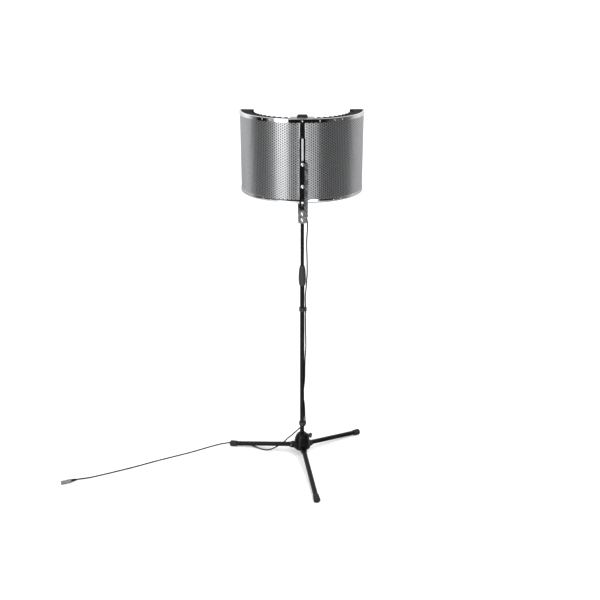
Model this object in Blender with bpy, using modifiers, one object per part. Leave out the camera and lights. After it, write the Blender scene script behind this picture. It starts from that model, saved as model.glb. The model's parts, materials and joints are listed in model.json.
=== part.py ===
"""Microphone isolation shield on a folding tripod stand, with the microphone cable it carries.

Metres, +Z up. The pole stands upright on the floor, the closed back of the shield faces -Y and its
open side faces +Y. Every piece is modelled about the pole's axis; the empty that holds the whole
object then moves it so that the middle of its footprint is at the origin.
"""

import math

import bmesh
import bpy
from mathutils import Matrix, Vector

# ------------------------------------------------------------------ fits and facets
GAP = 0.0003  # clearance between two pieces that touch
FREE = 0.0005  # clearance round a piece that turns or slides
ROUND = 24  # sides of a large round piece
SMALL_ROUND = 16  # sides of a small round piece
LOBE_STEPS = 8  # points round one lobe of the wing knob
HEAD_STEPS = 20  # sides of a domed screw
RIVET_STEPS = 10  # sides of a rivet head
DOME_STEPS = 8  # facets from the hub's top down to its widest line
EYE_STEPS = 8  # facets round the end of a fork or a knuckle
SLOT_STEPS = 6  # facets round the end of a slot or of the stiffener
BAR_STEPS = 10  # facets round the top of the bar
HEAD_FACETS = 4  # facets from a domed head's crown to its rim
RIVET_FACETS = 3  # the same for a rivet and the rim's screw
EDGE_FACETS = 2  # facets round the edge of a foot
CONTACT_SIDES = 8
HEXAGON = 6
SHARP = math.radians(35)  # edges sharper than this stay crisp

# ------------------------------------------------------------------ pole
ROD_R = 0.0080
ROD_WALL = 0.0012
ROD_CLEARANCE = 0.0008  # between the rod and the tube it slides in
TUBE_WALL = 0.0012
TUBE_BOTTOM = 0.0630
TUBE_TOP = 0.9440
ROD_BOTTOM = 0.4200
END_PLUG_DEPTH = 0.0180
BUSH_DEPTH = 0.0140  # of the guide bush's spigot in the rod
BUSH_LENGTH = 0.0120  # of the guide bush below the rod

# ------------------------------------------------------------------ hub
HUB_TOP = 0.1470
HUB_WIDE_Z = 0.0720
HUB_BOTTOM = 0.0600
HUB_NECK_WALL = 0.0025
HUB_R = 0.0400
HUB_CORNER = 0.0110
HUB_STEPS = 28
FORK_ROOT_R = 0.0280  # from the pole's axis to the root of a fork, inside the dome

# ------------------------------------------------------------------ legs
LEG_AZIMUTHS = {"left": 159.8, "right": 39.8, "front": -80.2}
LEG_R = 0.0110
LEG_WALL = 0.0015
LEG_AXIS_Z = 0.0828  # height at which the legs' axes meet the pole's axis
PIVOT_RADIUS = 0.0520  # from the pole's axis to a leg's pivot
FOOT_RADIUS = 0.3602  # from the pole's axis to the middle of a foot
TONGUE_WIDTH = 0.0112
FORK_EAR = 0.0064  # width of one ear of a fork
FORK_MARGIN = 0.0005  # the fork is rounder than the leg by this
TONGUE_MARGIN = 0.0010  # the tongue is smaller than its fork by this
PIN_R = 0.0030
NECK_LENGTH = 0.0010  # between the fork's round end and the knuckle's collar
COLLAR_LENGTH = 0.0030
SHANK_LENGTH = 0.0300
FOOT_LENGTH = 0.0360
FOOT_WALL = 0.0022
FOOT_SWELL = 0.0018
FOOT_EDGE = 0.0040
FOOT_BORE_DEPTH = 0.0260
FOOT_SINK = 0.0002  # of the foot's round side above the floor, before its end is cut flat

# ------------------------------------------------------------------ hub wing screw
WING_AZIMUTH = -20.0
WING_Z = 0.1390
BOSS_R = 0.0075
BOSS_END = 0.0360
WING_STUD_R = 0.0030
WING_R = 0.0130
WING_LENGTH = 0.0110
WING_LOBES = 5
WING_LOBE_DEPTH = 0.0021
WING_CAP = 0.0030  # plastic left over the end of the stud

# ------------------------------------------------------------------ height clutch
SLEEVE_WALL = 0.0016
SLEEVE_OVERLAP = 0.0300  # of the sleeve on the tube
SLEEVE_HEAD = 0.0110  # of the sleeve above the tube
COLLET_LENGTH = 0.0207
COLLET_WALL = 0.0020
COLLET_TIP_WALL = 0.0008
COLLET_TAPER = 0.0080
COLLET_SPLIT = 0.0020
GRIP_DROP = 0.0470  # from the tube's mouth down to the bottom of the grip
GRIP_LIP = 0.0060
GRIP_CHAMFER = 0.0060
# Outside of the grip: heights above its bottom, and radii beyond the tube's.
GRIP_OUTLINE = (
    (0.0950, -0.0005),
    (0.0900, 0.0020),
    (0.0740, 0.0047),
    (0.0520, 0.0062),
    (0.0330, 0.0068),
    (0.0150, 0.0056),
    (0.0030, 0.0030),
    (0.0000, 0.0008),
)

# ------------------------------------------------------------------ cable and its clips
CABLE_R = 0.0030
CLIP_WALL = 0.0046
CLIP_LOOP_WALL = 0.0023
CLIP_MOUTH = 0.0060
UPPER_CLIP_SPAN = (0.7750, 0.7920)
UPPER_CLIP_CABLE = (0.0151, -0.0025)
LOWER_CLIP_SPAN = (0.1900, 0.2060)
LOWER_CLIP_CABLE = (0.0141, 0.0025)

# ------------------------------------------------------------------ shield
SHIELD_R = 0.2786  # outside of the rims
SHIELD_FRONT_Y = -0.0249  # foremost line of the rims
SHIELD_HEIGHT = 0.3580
SHIELD_CLEARANCE = 0.0050  # above the top of the clamp, at the bottom of the slide
SHIELD_HALF_ANGLE = math.radians(95)
ARC_STEP = math.radians(5)
RIM_WALL = 0.0020
RIM_BAND = 0.0155
RIM_FLANGE = 0.0080
SHELL_WALL = 0.0010
FELT_THICKNESS = 0.0030
LINER_WALL = 0.0008
FOAM_THICKNESS = 0.0550
FOAM_INSET = 0.0015  # the foam ends this far inside the rims' faces
END_RAIL_WALL = 0.0015
RIVET_ANGLES = (15.5, 29.5, 37.6, 67.0, 82.0)
RIVET_R = 0.0034
RIVET_HEIGHT = 0.0012
STRIP_WIDTH = 0.0210
STRIP_WALL = 0.0009
WINDOW_MARGIN = 0.0140  # of the strip's window above the upper bolt
SEAM_WIDTH = 0.0290
SEAM_WALL = 0.0008
STRIP_SCREW_R = 0.0035
STRIP_SCREW_HEIGHT = 0.0016
TOP_PLATE_HALF_ANGLE = math.radians(12.5)
TOP_PLATE_WALL = 0.0012
HOOK_WIDTH = 0.0480
HOOK_TOP_WIDTH = 0.0380
HOOK_DEPTH = 0.0130
HOOK_HEIGHT = 0.0095
HOOK_BEVEL = 0.0010

# ------------------------------------------------------------------ bracket
CLAMP_BOTTOM = 1.1920
CLAMP_HEIGHT = 0.0850
CLAMP_WIDTH = 0.0400
CLAMP_FOOT_WIDTH = 0.0360
CLAMP_BACK_WALL = 0.0060
CLAMP_BEVEL = 0.0020
ROD_SET = 0.0050  # depth of the rod's end below the top of the clamp
BAR_GAP = 0.0005  # between the bar and the shield that slides on it
BAR_WIDTH = 0.0260
BAR_WALL = 0.0050
BAR_OVERLAP = 0.0240  # of the bar on the clamp
BAR_END_WALL = 0.0070  # metal beyond each end of the slot
SLOT_WIDTH = 0.0090
SHIELD_TRAVEL = 0.1050  # how far the shield slides up its slot
STIFFENER_LEFT = 0.0094
STIFFENER_RIGHT = 0.0240
STIFFENER_WALL = 0.0028
STIFFENER_LIFT = 0.0300  # of its lower end above the bottom of the clamp
STIFFENER_LENGTH = 0.2330

# ------------------------------------------------------------------ bolts
BOLT_HEIGHTS = {"upper": 0.1690, "lower": 0.0740}  # above the bottom of the shield
CLAMP_SCREW_HEIGHTS = {"upper": 0.0430, "lower": 0.0160}  # above the bottom of the clamp
HEAD_R = 0.0088
HEAD_HEIGHT = 0.0062
BOLT_R = 0.0030
NUT_PLATE_WIDTH = 0.0200
NUT_PLATE_WALL = 0.0020
NUT_PLATE_MARGIN = 0.0150

# ------------------------------------------------------------------ microphone arm
ARM_WIDTH = 0.0240
ARM_WALL = 0.0050
ARM_DROP = 0.0095  # of the arm's top below the top of the clamp
ARM_TAB_LIFT = 0.0080  # of the tab's lower end above the bottom of the clamp
ARM_LENGTH = 0.1560  # from the clamp to the arm's tip
ARM_SLOT_START = 0.0980
ARM_SLOT_LENGTH = 0.0460
STUD_NECK_R = 0.0047
STUD_SHOULDER_R = 0.0118
STUD_SHOULDER = 0.0040
STUD_R = 0.0079
STUD_CHAMFER = 0.0010
STUD_LENGTH = 0.0200
STUD_TAIL = 0.0010  # of the stud's neck below its nut
STUD_NUT_R = 0.0090
STUD_NUT_HEIGHT = 0.0060

# ------------------------------------------------------------------ connectors on the cable
SHELL_R = 0.0095
SHELL_LENGTH = 0.0460
BOOT_LENGTH = 0.0220
BOOT_TIP_R = 0.0048
BOOT_ROOT_R = 0.0075
FACE_DEPTH = 0.0150
CONNECTOR_BORE_R = 0.0078
PIN_CIRCLE_R = 0.0040
CONTACT_R = 0.0012
CONTACT_LENGTH = 0.0100
PLUG_DISC = 0.0020  # base that carries the plug's three pins
SOCKET_START = (0.0245, 0.0870, 1.2645)
SHELL_SHOULDER = 0.0040
CONTACT_DEPTH = 0.0040  # of the socket's holes above the floor of its face
LATCH_SIZE = (0.0050, 0.0080, 0.0024)
LATCH_PROUD = 0.0012
LATCH_TRAVEL = 0.0010
SOCKET_CLIP_WIDTH = 0.0120
SOCKET_CLIP_WALL = 0.0018
SOCKET_CLIP_OFFSET = 0.0080  # along the shell, from its start
SOCKET_PAD_HALF = 0.0040
PLUG_START = (-1.0520, -0.1888, 0.0100)
PLUG_HEADING = (-0.912, -0.409, 0.0)

# The cable's route, from the socket on the microphone arm to the plug on the floor, as points
# chosen by hand about the pole's axis. It is cut where it leaves the bracket and the rod.
HEAD_ROUTE = (
    (0.0245, 0.0867, 1.2645),
    (0.0241, 0.0800, 1.2645),
    (0.0220, 0.0700, 1.2645),
    (0.0186, 0.0570, 1.2645),
    (0.0163, 0.0430, 1.2642),
    (0.0157, 0.0320, 1.2605),
    (0.0156, 0.0250, 1.2500),
    (0.0158, 0.0228, 1.2360),
    (0.0170, 0.0226, 1.2160),
    (0.0196, 0.0208, 1.2010),
    (0.0219, 0.0160, 1.1890),
    (0.0230, 0.0085, 1.1800),
    (0.0231, 0.0030, 1.1720),
    (0.0228, 0.0013, 1.1640),
)
UPPER_ROUTE = (
    (0.0228, 0.0012, 1.1636),
    (0.0224, 0.0004, 1.1560),
    (0.0213, 0.0000, 1.1400),
    (0.0198, 0.0000, 1.1120),
    (0.0195, -0.0005, 1.0800),
    (0.0208, -0.0010, 1.0410),
    (0.0219, -0.0010, 0.9950),
    (0.0221, -0.0015, 0.9580),
    (0.0203, -0.0030, 0.9260),
    (0.0182, -0.0030, 0.8990),
    (0.0158, -0.0033, 0.8700),
    (0.0138, -0.0045, 0.8420),
    (0.0146, -0.0030, 0.8080),
)
LOWER_ROUTE = (
    (0.0147, -0.0029, 0.8076),
    (0.0151, -0.0025, 0.7960),
    (0.0151, -0.0025, 0.7720),
    (0.0145, -0.0029, 0.7500),
    (0.0148, -0.0025, 0.7150),
    (0.0152, -0.0020, 0.6760),
    (0.0162, -0.0020, 0.6300),
    (0.0166, -0.0020, 0.6010),
    (0.0155, -0.0030, 0.5730),
    (0.0136, -0.0045, 0.5480),
    (0.0124, -0.0068, 0.5000),
    (0.0116, -0.0082, 0.4400),
    (0.0083, -0.0116, 0.4020),
    (0.0048, -0.0135, 0.3720),
    (0.0052, -0.0134, 0.3420),
    (0.0090, -0.0111, 0.3160),
    (0.0114, -0.0085, 0.2900),
    (0.0126, -0.0064, 0.2500),
    (0.0138, -0.0012, 0.2230),
    (0.0141, 0.0025, 0.2060),
    (0.0141, 0.0025, 0.1900),
    (0.0118, 0.0090, 0.1795),
    (0.0055, 0.0139, 0.1725),
    (-0.0040, 0.0147, 0.1675),
    (-0.0130, 0.0105, 0.1635),
    (-0.0205, 0.0040, 0.1595),
    (-0.0290, -0.0008, 0.1535),
    (-0.0386, -0.0040, 0.1460),
    (-0.0530, -0.0056, 0.1325),
    (-0.0677, -0.0058, 0.1200),
    (-0.0824, -0.0030, 0.1020),
    (-0.0973, 0.0030, 0.0830),
    (-0.1173, 0.0170, 0.0630),
    (-0.1374, 0.0326, 0.0420),
    (-0.1535, 0.0480, 0.0255),
    (-0.1700, 0.0650, 0.0130),
    (-0.1880, 0.0790, 0.0058),
    (-0.2077, 0.0925, 0.0034),
    (-0.2283, 0.1090, 0.0033),
    (-0.2490, 0.1250, 0.0033),
    (-0.2720, 0.1380, 0.0033),
    (-0.3101, 0.1500, 0.0033),
    (-0.3557, 0.1530, 0.0033),
    (-0.4001, 0.1410, 0.0033),
    (-0.4435, 0.1205, 0.0033),
    (-0.5511, 0.0585, 0.0033),
    (-0.6886, -0.0105, 0.0033),
    (-0.8208, -0.0815, 0.0033),
    (-0.9508, -0.1435, 0.0033),
    (-0.9950, -0.1633, 0.0040),
    (-1.0330, -0.1803, 0.0082),
    (-1.0517, -0.1887, 0.0100),
)
ROUTE_STEP = 0.036  # longest straight piece of a cable in the model

# ------------------------------------------------------------------ worked out from the above
TUBE_BORE_R = ROD_R + ROD_CLEARANCE
TUBE_R = TUBE_BORE_R + TUBE_WALL
ROD_BORE_R = ROD_R - ROD_WALL
HUB_TOP_R = TUBE_R + HUB_NECK_WALL
LEG_BORE_R = LEG_R - LEG_WALL
FORK_R = LEG_R + FORK_MARGIN
TONGUE_R = FORK_R - TONGUE_MARGIN
FORK_WIDTH = TONGUE_WIDTH + 2 * (FORK_EAR + GAP)
FOOT_NECK_R = LEG_R + GAP + FOOT_WALL
FOOT_R = FOOT_NECK_R + FOOT_SWELL
LEG_SLOPE = math.atan((LEG_AXIS_Z - FOOT_R - FOOT_SINK) / FOOT_RADIUS)
PIVOT_Z = LEG_AXIS_Z - PIVOT_RADIUS * math.tan(LEG_SLOPE)
FOOT_REACH = (FOOT_RADIUS - PIVOT_RADIUS) / math.cos(LEG_SLOPE)  # pivot to foot, along the leg
LEG_START = FORK_R + NECK_LENGTH
CLIP_RING_R = TUBE_R + CLIP_WALL
CLIP_LOOP_R = CABLE_R + GAP + CLIP_LOOP_WALL
GRIP_BOTTOM = TUBE_TOP - GRIP_DROP
SLEEVE_TOP = TUBE_TOP + SLEEVE_HEAD
COLLET_BOTTOM = SLEEVE_TOP + GAP
COLLET_TOP = COLLET_BOTTOM + COLLET_LENGTH
CLAMP_TOP = CLAMP_BOTTOM + CLAMP_HEIGHT
ROD_TOP = CLAMP_TOP - ROD_SET
SHIELD_BOTTOM = CLAMP_TOP + SHIELD_CLEARANCE
BAR_BOTTOM = CLAMP_TOP - BAR_OVERLAP
BAR_BACK_Y = SHIELD_FRONT_Y - BAR_GAP
BAR_FRONT_Y = BAR_BACK_Y - BAR_WALL
CLAMP_FRONT_Y = BAR_BACK_Y + GAP
CLAMP_BACK_Y = ROD_R + FREE + CLAMP_BACK_WALL
STIFFENER_BOTTOM = CLAMP_BOTTOM + STIFFENER_LIFT
STIFFENER_TOP = STIFFENER_BOTTOM + STIFFENER_LENGTH
ARM_TOP = CLAMP_TOP - ARM_DROP
ARM_TAB_BOTTOM = CLAMP_BOTTOM + ARM_TAB_LIFT
SHIELD_TOP = SHIELD_BOTTOM + SHIELD_HEIGHT
SHIELD_CENTRE_Y = SHIELD_FRONT_Y + SHIELD_R
SHELL_R_OUT = SHIELD_R - RIM_WALL - GAP
FELT_R_OUT = SHELL_R_OUT - SHELL_WALL - GAP
LINER_R_OUT = FELT_R_OUT - FELT_THICKNESS - GAP
FOAM_R_OUT = SHIELD_R - RIM_FLANGE - GAP
FOAM_R_IN = FOAM_R_OUT - FOAM_THICKNESS
INNER_BOTTOM = SHIELD_BOTTOM + RIM_WALL + GAP  # between the flanges of the rims
INNER_TOP = SHIELD_TOP - RIM_WALL - GAP
STRIP_FRONT_Y = SHIELD_FRONT_Y
SEAM_FRONT_Y = STRIP_FRONT_Y + STRIP_WALL + GAP
SLOT_TOP = SHIELD_BOTTOM + BOLT_HEIGHTS["upper"] + SHIELD_TRAVEL + SLOT_WIDTH / 2 + FREE
BAR_TOP = SLOT_TOP + BAR_END_WALL
SLOT_BOTTOM = BAR_BOTTOM + 2 * BAR_END_WALL
ARM_START_Y = CLAMP_BACK_Y + GAP
STUD_Y = ARM_START_Y + ARM_SLOT_START + ARM_SLOT_LENGTH / 2
NUT_PLATE_FRONT_Y = SHIELD_CENTRE_Y - (SHELL_R_OUT - SHELL_WALL) + 2 * GAP

UPRIGHT = Matrix.Rotation(math.radians(90), 4, "X")  # stands a flat outline up in the XZ plane


# ------------------------------------------------------------------ scene and materials
def clear_scene():
    for obj in list(bpy.data.objects):
        bpy.data.objects.remove(obj, do_unlink=True)


def new_collection(name):
    made = bpy.data.collections.new(name)
    bpy.context.scene.collection.children.link(made)
    return made


def finish_of(name, colour, roughness, metallic=0.0):
    made = bpy.data.materials.new(name)
    made.use_nodes = True
    shader = made.node_tree.nodes["Principled BSDF"]
    shader.inputs["Base Color"].default_value = (*colour, 1.0)
    shader.inputs["Roughness"].default_value = roughness
    shader.inputs["Metallic"].default_value = metallic
    made.diffuse_color = (*colour, 1.0)
    return made


clear_scene()
PARTS = new_collection("microphone_isolation_shield")
CUTTERS = new_collection("cutters")
BLACK_PAINT = ("black_powder_coat", (0.015, 0.015, 0.016), 0.35, 0.0)
BLACK_PLASTIC = ("black_nylon", (0.020, 0.020, 0.021), 0.55, 0.0)
RUBBER = ("black_rubber", (0.018, 0.018, 0.018), 0.8, 0.0)
CHROME = ("chrome_plate", (0.80, 0.80, 0.82), 0.08, 1.0)
ALUMINIUM = ("brushed_aluminium", (0.55, 0.55, 0.56), 0.30, 1.0)
NICKEL = ("satin_nickel", (0.45, 0.45, 0.46), 0.35, 1.0)
STEEL = ("zinc_plated_steel", (0.50, 0.50, 0.52), 0.40, 1.0)
FOAM = ("acoustic_foam", (0.012, 0.012, 0.013), 0.95, 0.0)
FELT = ("grey_felt", (0.050, 0.050, 0.052), 0.95, 0.0)


# ------------------------------------------------------------------ shape helpers
def show_cutter(obj):
    CUTTERS.objects.link(obj)
    obj.hide_render = True
    obj.display_type = "WIRE"


def freeze(obj):
    """The object as a plain welded mesh, with its modifiers and its transform taken in."""
    if not obj.users_collection:
        show_cutter(obj)
    bpy.context.view_layer.update()
    graph = bpy.context.evaluated_depsgraph_get()
    mesh = bpy.data.meshes.new_from_object(obj.evaluated_get(graph))
    mesh.transform(obj.matrix_world)
    shape = bmesh.new()
    shape.from_mesh(mesh)
    bmesh.ops.remove_doubles(shape, verts=shape.verts, dist=0.000002)
    shape.to_mesh(mesh)
    shape.free()
    name = obj.name
    bpy.data.objects.remove(obj, do_unlink=True)
    return bpy.data.objects.new(name, mesh)


def turned(name, profile, steps=ROUND, solid=False):
    """A turned piece. The (radius, z) points run down the outside and back up the bore."""
    mesh = bpy.data.meshes.new(name)
    edges = [(i, i + 1) for i in range(len(profile) - 1)]
    if not solid:
        edges.append((len(profile) - 1, 0))
    mesh.from_pydata([(radius, 0.0, z) for radius, z in profile], edges, [])
    obj = bpy.data.objects.new(name, mesh)
    turn = obj.modifiers.new("Turn", "SCREW")
    turn.steps = turn.render_steps = steps
    turn.use_merge_vertices = True
    turn.merge_threshold = 0.00001
    return freeze(obj)


def tube(name, outer, bore, bottom, top, steps=ROUND):
    return turned(name, [(outer, top), (outer, bottom), (bore, bottom), (bore, top)], steps)


def cylinder(name, radius, start, end, steps=SMALL_ROUND):
    """A solid round bar from one point to another."""
    start, end = Vector(start), Vector(end)
    length = (end - start).length
    obj = turned(name, [(0, length), (radius, length), (radius, 0), (0, 0)], steps, solid=True)
    aim(obj, start, end - start)
    return obj


def aim(obj, start, direction):
    """Turns the mesh's own Z axis along the direction and puts its origin at the start."""
    turn = Vector(direction).to_track_quat("Z", "Y").to_matrix().to_4x4()
    obj.data.transform(Matrix.Translation(start) @ turn)


def box(name, low, high):
    low, high = Vector(low), Vector(high)
    shape = bmesh.new()
    bmesh.ops.create_cube(shape, size=1.0)
    bmesh.ops.scale(shape, vec=high - low, verts=shape.verts)
    bmesh.ops.translate(shape, vec=(low + high) / 2, verts=shape.verts)
    mesh = bpy.data.meshes.new(name)
    shape.to_mesh(mesh)
    shape.free()
    return bpy.data.objects.new(name, mesh)


def extruded(name, outlines, thickness, frame=None):
    """A flat outline with its holes, given a thickness about its own plane."""
    curve = bpy.data.curves.new(name, "CURVE")
    curve.dimensions = "2D"
    curve.fill_mode = "BOTH"
    curve.extrude = thickness / 2
    for outline in outlines:
        spline = curve.splines.new("POLY")
        spline.points.add(len(outline) - 1)
        for point, (x, y) in zip(spline.points, outline):
            point.co = (x, y, 0.0, 1.0)
        spline.use_cyclic_u = True
    obj = freeze(bpy.data.objects.new(name, curve))
    if frame is not None:
        obj.data.transform(frame)
    return obj


def arc_points(centre, radius, start, end, steps):
    """Points on an arc, with its angles in degrees."""
    angles = [math.radians(start + (end - start) * i / steps) for i in range(steps + 1)]
    return [(centre[0] + radius * math.cos(a), centre[1] + radius * math.sin(a)) for a in angles]


def polygon(radius, sides):
    return arc_points((0, 0), radius, 0, 360, sides)[:-1]


def stadium(low, high, radius, steps=SLOT_STEPS):
    """An upright outline with two round ends; low and high are the centres of the ends."""
    return arc_points(high, radius, 0, 180, steps) + arc_points(low, radius, 180, 360, steps)


def rounded(obj, width):
    bevel = obj.modifiers.new("Edges", "BEVEL")
    bevel.width = width
    bevel.segments = 1
    bevel.limit_method = "ANGLE"
    return freeze(obj)


def combined(body, tool, operation):
    """The body after one exact Boolean with the tool, which is used up."""
    PARTS.objects.link(body)
    show_cutter(tool)
    step = body.modifiers.new("Step", "BOOLEAN")
    step.operation = operation
    step.solver = "EXACT"
    step.object = tool
    made = freeze(body)
    bpy.data.objects.remove(tool, do_unlink=True)
    return made


def cut(body, *tools):
    for tool in tools:
        body = combined(body, tool, "DIFFERENCE")
    return body


def fused(body, *tools):
    for tool in tools:
        body = combined(body, tool, "UNION")
    return body


def bent(name, section, half_angle=SHIELD_HALF_ANGLE):
    """A strip of the given section bent round the shield's axis, with its two ends closed.

    The (radius, z) points of the section run down its outer side and back up its inner one.
    """
    mesh = bpy.data.meshes.new(name)
    edges = [(i, (i + 1) % len(section)) for i in range(len(section))]
    mesh.from_pydata([(radius, 0.0, z) for radius, z in section], edges, [])
    obj = bpy.data.objects.new(name, mesh)
    obj.location.y = SHIELD_CENTRE_Y
    obj.rotation_euler.z = -math.pi / 2 - half_angle
    bend = obj.modifiers.new("Bend", "SCREW")
    bend.angle = 2 * half_angle
    bend.steps = bend.render_steps = round(2 * half_angle / ARC_STEP)
    made = freeze(obj)
    shape = bmesh.new()
    shape.from_mesh(made.data)
    ends = [edge for edge in shape.edges if edge.is_boundary]
    bmesh.ops.holes_fill(shape, edges=ends)
    bmesh.ops.recalc_face_normals(shape, faces=shape.faces)
    shape.to_mesh(made.data)
    shape.free()
    return made


def band(outer, inner, low, high):
    """The section of a plain curved sheet."""
    return [(outer, high), (outer, low), (inner, low), (inner, high)]


def dome(radius, height, top, steps=HEAD_FACETS):
    """Profile of a domed head, from its crown down to its rim."""
    angles = [math.radians(90 * i / steps) for i in range(steps + 1)]
    return [(radius * math.sin(a), top - height * (1 - math.cos(a))) for a in angles]


# ------------------------------------------------------------------ placing
MATERIALS = {}
HOLDERS = {}


def material(finish):
    if finish[0] not in MATERIALS:
        MATERIALS[finish[0]] = finish_of(*finish)
    return MATERIALS[finish[0]]


def holder(name, place=(0, 0, 0), parent=None, azimuth=0.0):
    """An empty on a joint's axis; pieces that move together hang from it."""
    made = bpy.data.objects.new(name, None)
    PARTS.objects.link(made)
    frame = Matrix.Translation(place) @ Matrix.Rotation(math.radians(azimuth), 4, "Z")
    HOLDERS[name] = frame
    if parent is None:
        made.matrix_basis = frame
    else:
        made.parent = parent
        made.matrix_basis = HOLDERS[parent.name].inverted() @ frame
    return made


def put(obj, parent, finish, local=False):
    """Adds a piece to the model under its empty, in its finish and smoothly shaded."""
    PARTS.objects.link(obj)
    if not local:
        obj.data.transform(HOLDERS[parent.name].inverted())
    obj.parent = parent
    obj.data.materials.clear()
    obj.data.materials.append(material(finish))
    obj.data.shade_smooth()
    obj.data.set_sharp_from_angle(angle=SHARP)
    return obj


def copy_of(obj, name, parent):
    """Another piece of the same mesh, under its own empty."""
    made = bpy.data.objects.new(name, obj.data)
    PARTS.objects.link(made)
    made.parent = parent
    return made


# ------------------------------------------------------------------ stand: hub and tubes
def radial_frame(azimuth, radius, z):
    """A frame at a place round the pole: X points outwards, Z up."""
    turn = Matrix.Rotation(math.radians(azimuth), 4, "Z")
    return turn @ Matrix.Translation((radius, 0, z))


def fork_blank(azimuth):
    """One solid horn of the hub, round at the leg's pivot and level with the leg."""
    back = PIVOT_RADIUS - FORK_ROOT_R
    ends = arc_points((0, 0), FORK_R, 90, -90, EYE_STEPS)
    outline = [(-back, -FORK_R), (-back, FORK_R), *ends]
    horn = extruded("horn", [outline], FORK_WIDTH, UPRIGHT)
    horn.data.transform(radial_frame(azimuth, PIVOT_RADIUS, PIVOT_Z))
    return horn


def fork_cutters(azimuth):
    """The slot for the leg's tongue and the bore for its pin."""
    slot_back = TONGUE_R + FREE
    half = TONGUE_WIDTH / 2 + GAP
    slot = box("slot", (-slot_back, -half, -FORK_WIDTH), (FORK_WIDTH, half, FORK_WIDTH))
    bore = cylinder("bore", PIN_R + GAP, (0, -FORK_WIDTH, 0), (0, FORK_WIDTH, 0))
    for tool in (slot, bore):
        tool.data.transform(radial_frame(azimuth, PIVOT_RADIUS, PIVOT_Z))
    return slot, bore


def make_hub(root):
    bore = TUBE_R + GAP
    outline = [(bore, HUB_TOP)]
    for turn in (math.radians(90 * i / DOME_STEPS) for i in range(DOME_STEPS + 1)):
        radius = HUB_TOP_R + (HUB_R - HUB_TOP_R) * math.sin(turn)
        outline.append((radius, HUB_WIDE_Z + (HUB_TOP - HUB_WIDE_Z) * math.cos(turn)))
    outline.append((HUB_R, HUB_BOTTOM + HUB_CORNER))
    outline.append((HUB_R - HUB_CORNER, HUB_BOTTOM))
    outline.append((bore, HUB_BOTTOM))
    hub = turned("base_hub", outline, HUB_STEPS)
    horns = [fork_blank(azimuth) for azimuth in LEG_AZIMUTHS.values()]
    boss = cylinder("boss", BOSS_R, (HUB_TOP_R, 0, 0), (BOSS_END, 0, 0))
    stud_bore = cylinder("stud_bore", WING_STUD_R + GAP, (0, 0, 0), (HUB_R + BOSS_END, 0, 0))
    for tool in (boss, stud_bore):
        tool.data.transform(radial_frame(WING_AZIMUTH, 0, WING_Z))
    hub = fused(hub, *horns, boss)
    for azimuth in LEG_AZIMUTHS.values():
        hub = cut(hub, *fork_cutters(azimuth))
    hub = cut(hub, stud_bore)
    put(hub, root, BLACK_PAINT)


def make_tubes(root):
    put(tube("lower_tube", TUBE_R, TUBE_BORE_R, TUBE_BOTTOM, TUBE_TOP), root, BLACK_PAINT)
    spigot = TUBE_BORE_R - GAP
    top = TUBE_BOTTOM + END_PLUG_DEPTH
    plug = [(0, top), (spigot, top), (spigot, TUBE_BOTTOM - GAP)]
    plug += [(TUBE_R, TUBE_BOTTOM - GAP), (TUBE_R, HUB_BOTTOM + GAP), (0, HUB_BOTTOM + GAP)]
    put(turned("tube_end_plug", plug, solid=True), root, BLACK_PLASTIC)


def make_clutch(root):
    """The sleeve on the tube's mouth, the split collet on the rod and the grip that closes it."""
    inner = TUBE_R + GAP
    outer = inner + SLEEVE_WALL
    mouth = ROD_R + GAP
    ledge = TUBE_TOP + GAP
    sleeve_bottom = TUBE_TOP - SLEEVE_OVERLAP
    sleeve = [(mouth, SLEEVE_TOP), (outer, SLEEVE_TOP), (outer, sleeve_bottom)]
    sleeve += [(inner, sleeve_bottom), (inner, ledge), (mouth, ledge)]
    put(turned("clutch_sleeve", sleeve), root, BLACK_PLASTIC)
    tip, wide = mouth + COLLET_TIP_WALL, mouth + COLLET_WALL
    collet = [(mouth, COLLET_TOP), (tip, COLLET_TOP), (wide, COLLET_TOP - COLLET_TAPER)]
    collet += [(wide, COLLET_BOTTOM), (mouth, COLLET_BOTTOM)]
    half = COLLET_SPLIT / 2
    split = box("split", (0, -half, SLEEVE_TOP), (2 * TUBE_R, half, COLLET_TOP + TUBE_R))
    put(cut(turned("clutch_collet", collet), split), root, BLACK_PLASTIC)
    turn = holder("clutch_grip_axis", (0, 0, GRIP_BOTTOM), root)
    cone, lip = COLLET_TOP + GAP, TUBE_R + FREE
    grip = [(TUBE_R + beyond, GRIP_BOTTOM + up) for up, beyond in GRIP_OUTLINE]
    grip += [(lip, GRIP_BOTTOM), (lip, GRIP_BOTTOM + GRIP_LIP)]
    grip += [(outer + FREE, GRIP_BOTTOM + GRIP_LIP + GRIP_CHAMFER), (outer + FREE, COLLET_BOTTOM)]
    grip += [(wide + FREE, cone - COLLET_TAPER), (tip + FREE, cone), (mouth + FREE, cone)]
    grip += [(mouth + FREE, grip[0][1])]
    put(turned("clutch_grip", grip), turn, BLACK_PLASTIC)


def make_rod(rod):
    put(tube("upper_rod", ROD_R, ROD_BORE_R, ROD_BOTTOM, ROD_TOP), rod, BLACK_PAINT)
    spigot = ROD_BORE_R - GAP
    guide = TUBE_BORE_R - GAP
    low, top = ROD_BOTTOM - GAP, ROD_BOTTOM + BUSH_DEPTH
    bush = [(0, top), (spigot, top), (spigot, low)]
    bush += [(guide, low), (guide, low - BUSH_LENGTH), (0, low - BUSH_LENGTH)]
    put(turned("rod_guide_bush", bush, solid=True), rod, BLACK_PLASTIC)


# ------------------------------------------------------------------ stand: legs
def leg_frame():
    """X along the leg, outwards and down, with the origin on the leg's pivot."""
    return Matrix.Rotation(LEG_SLOPE, 4, "Y")


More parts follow.
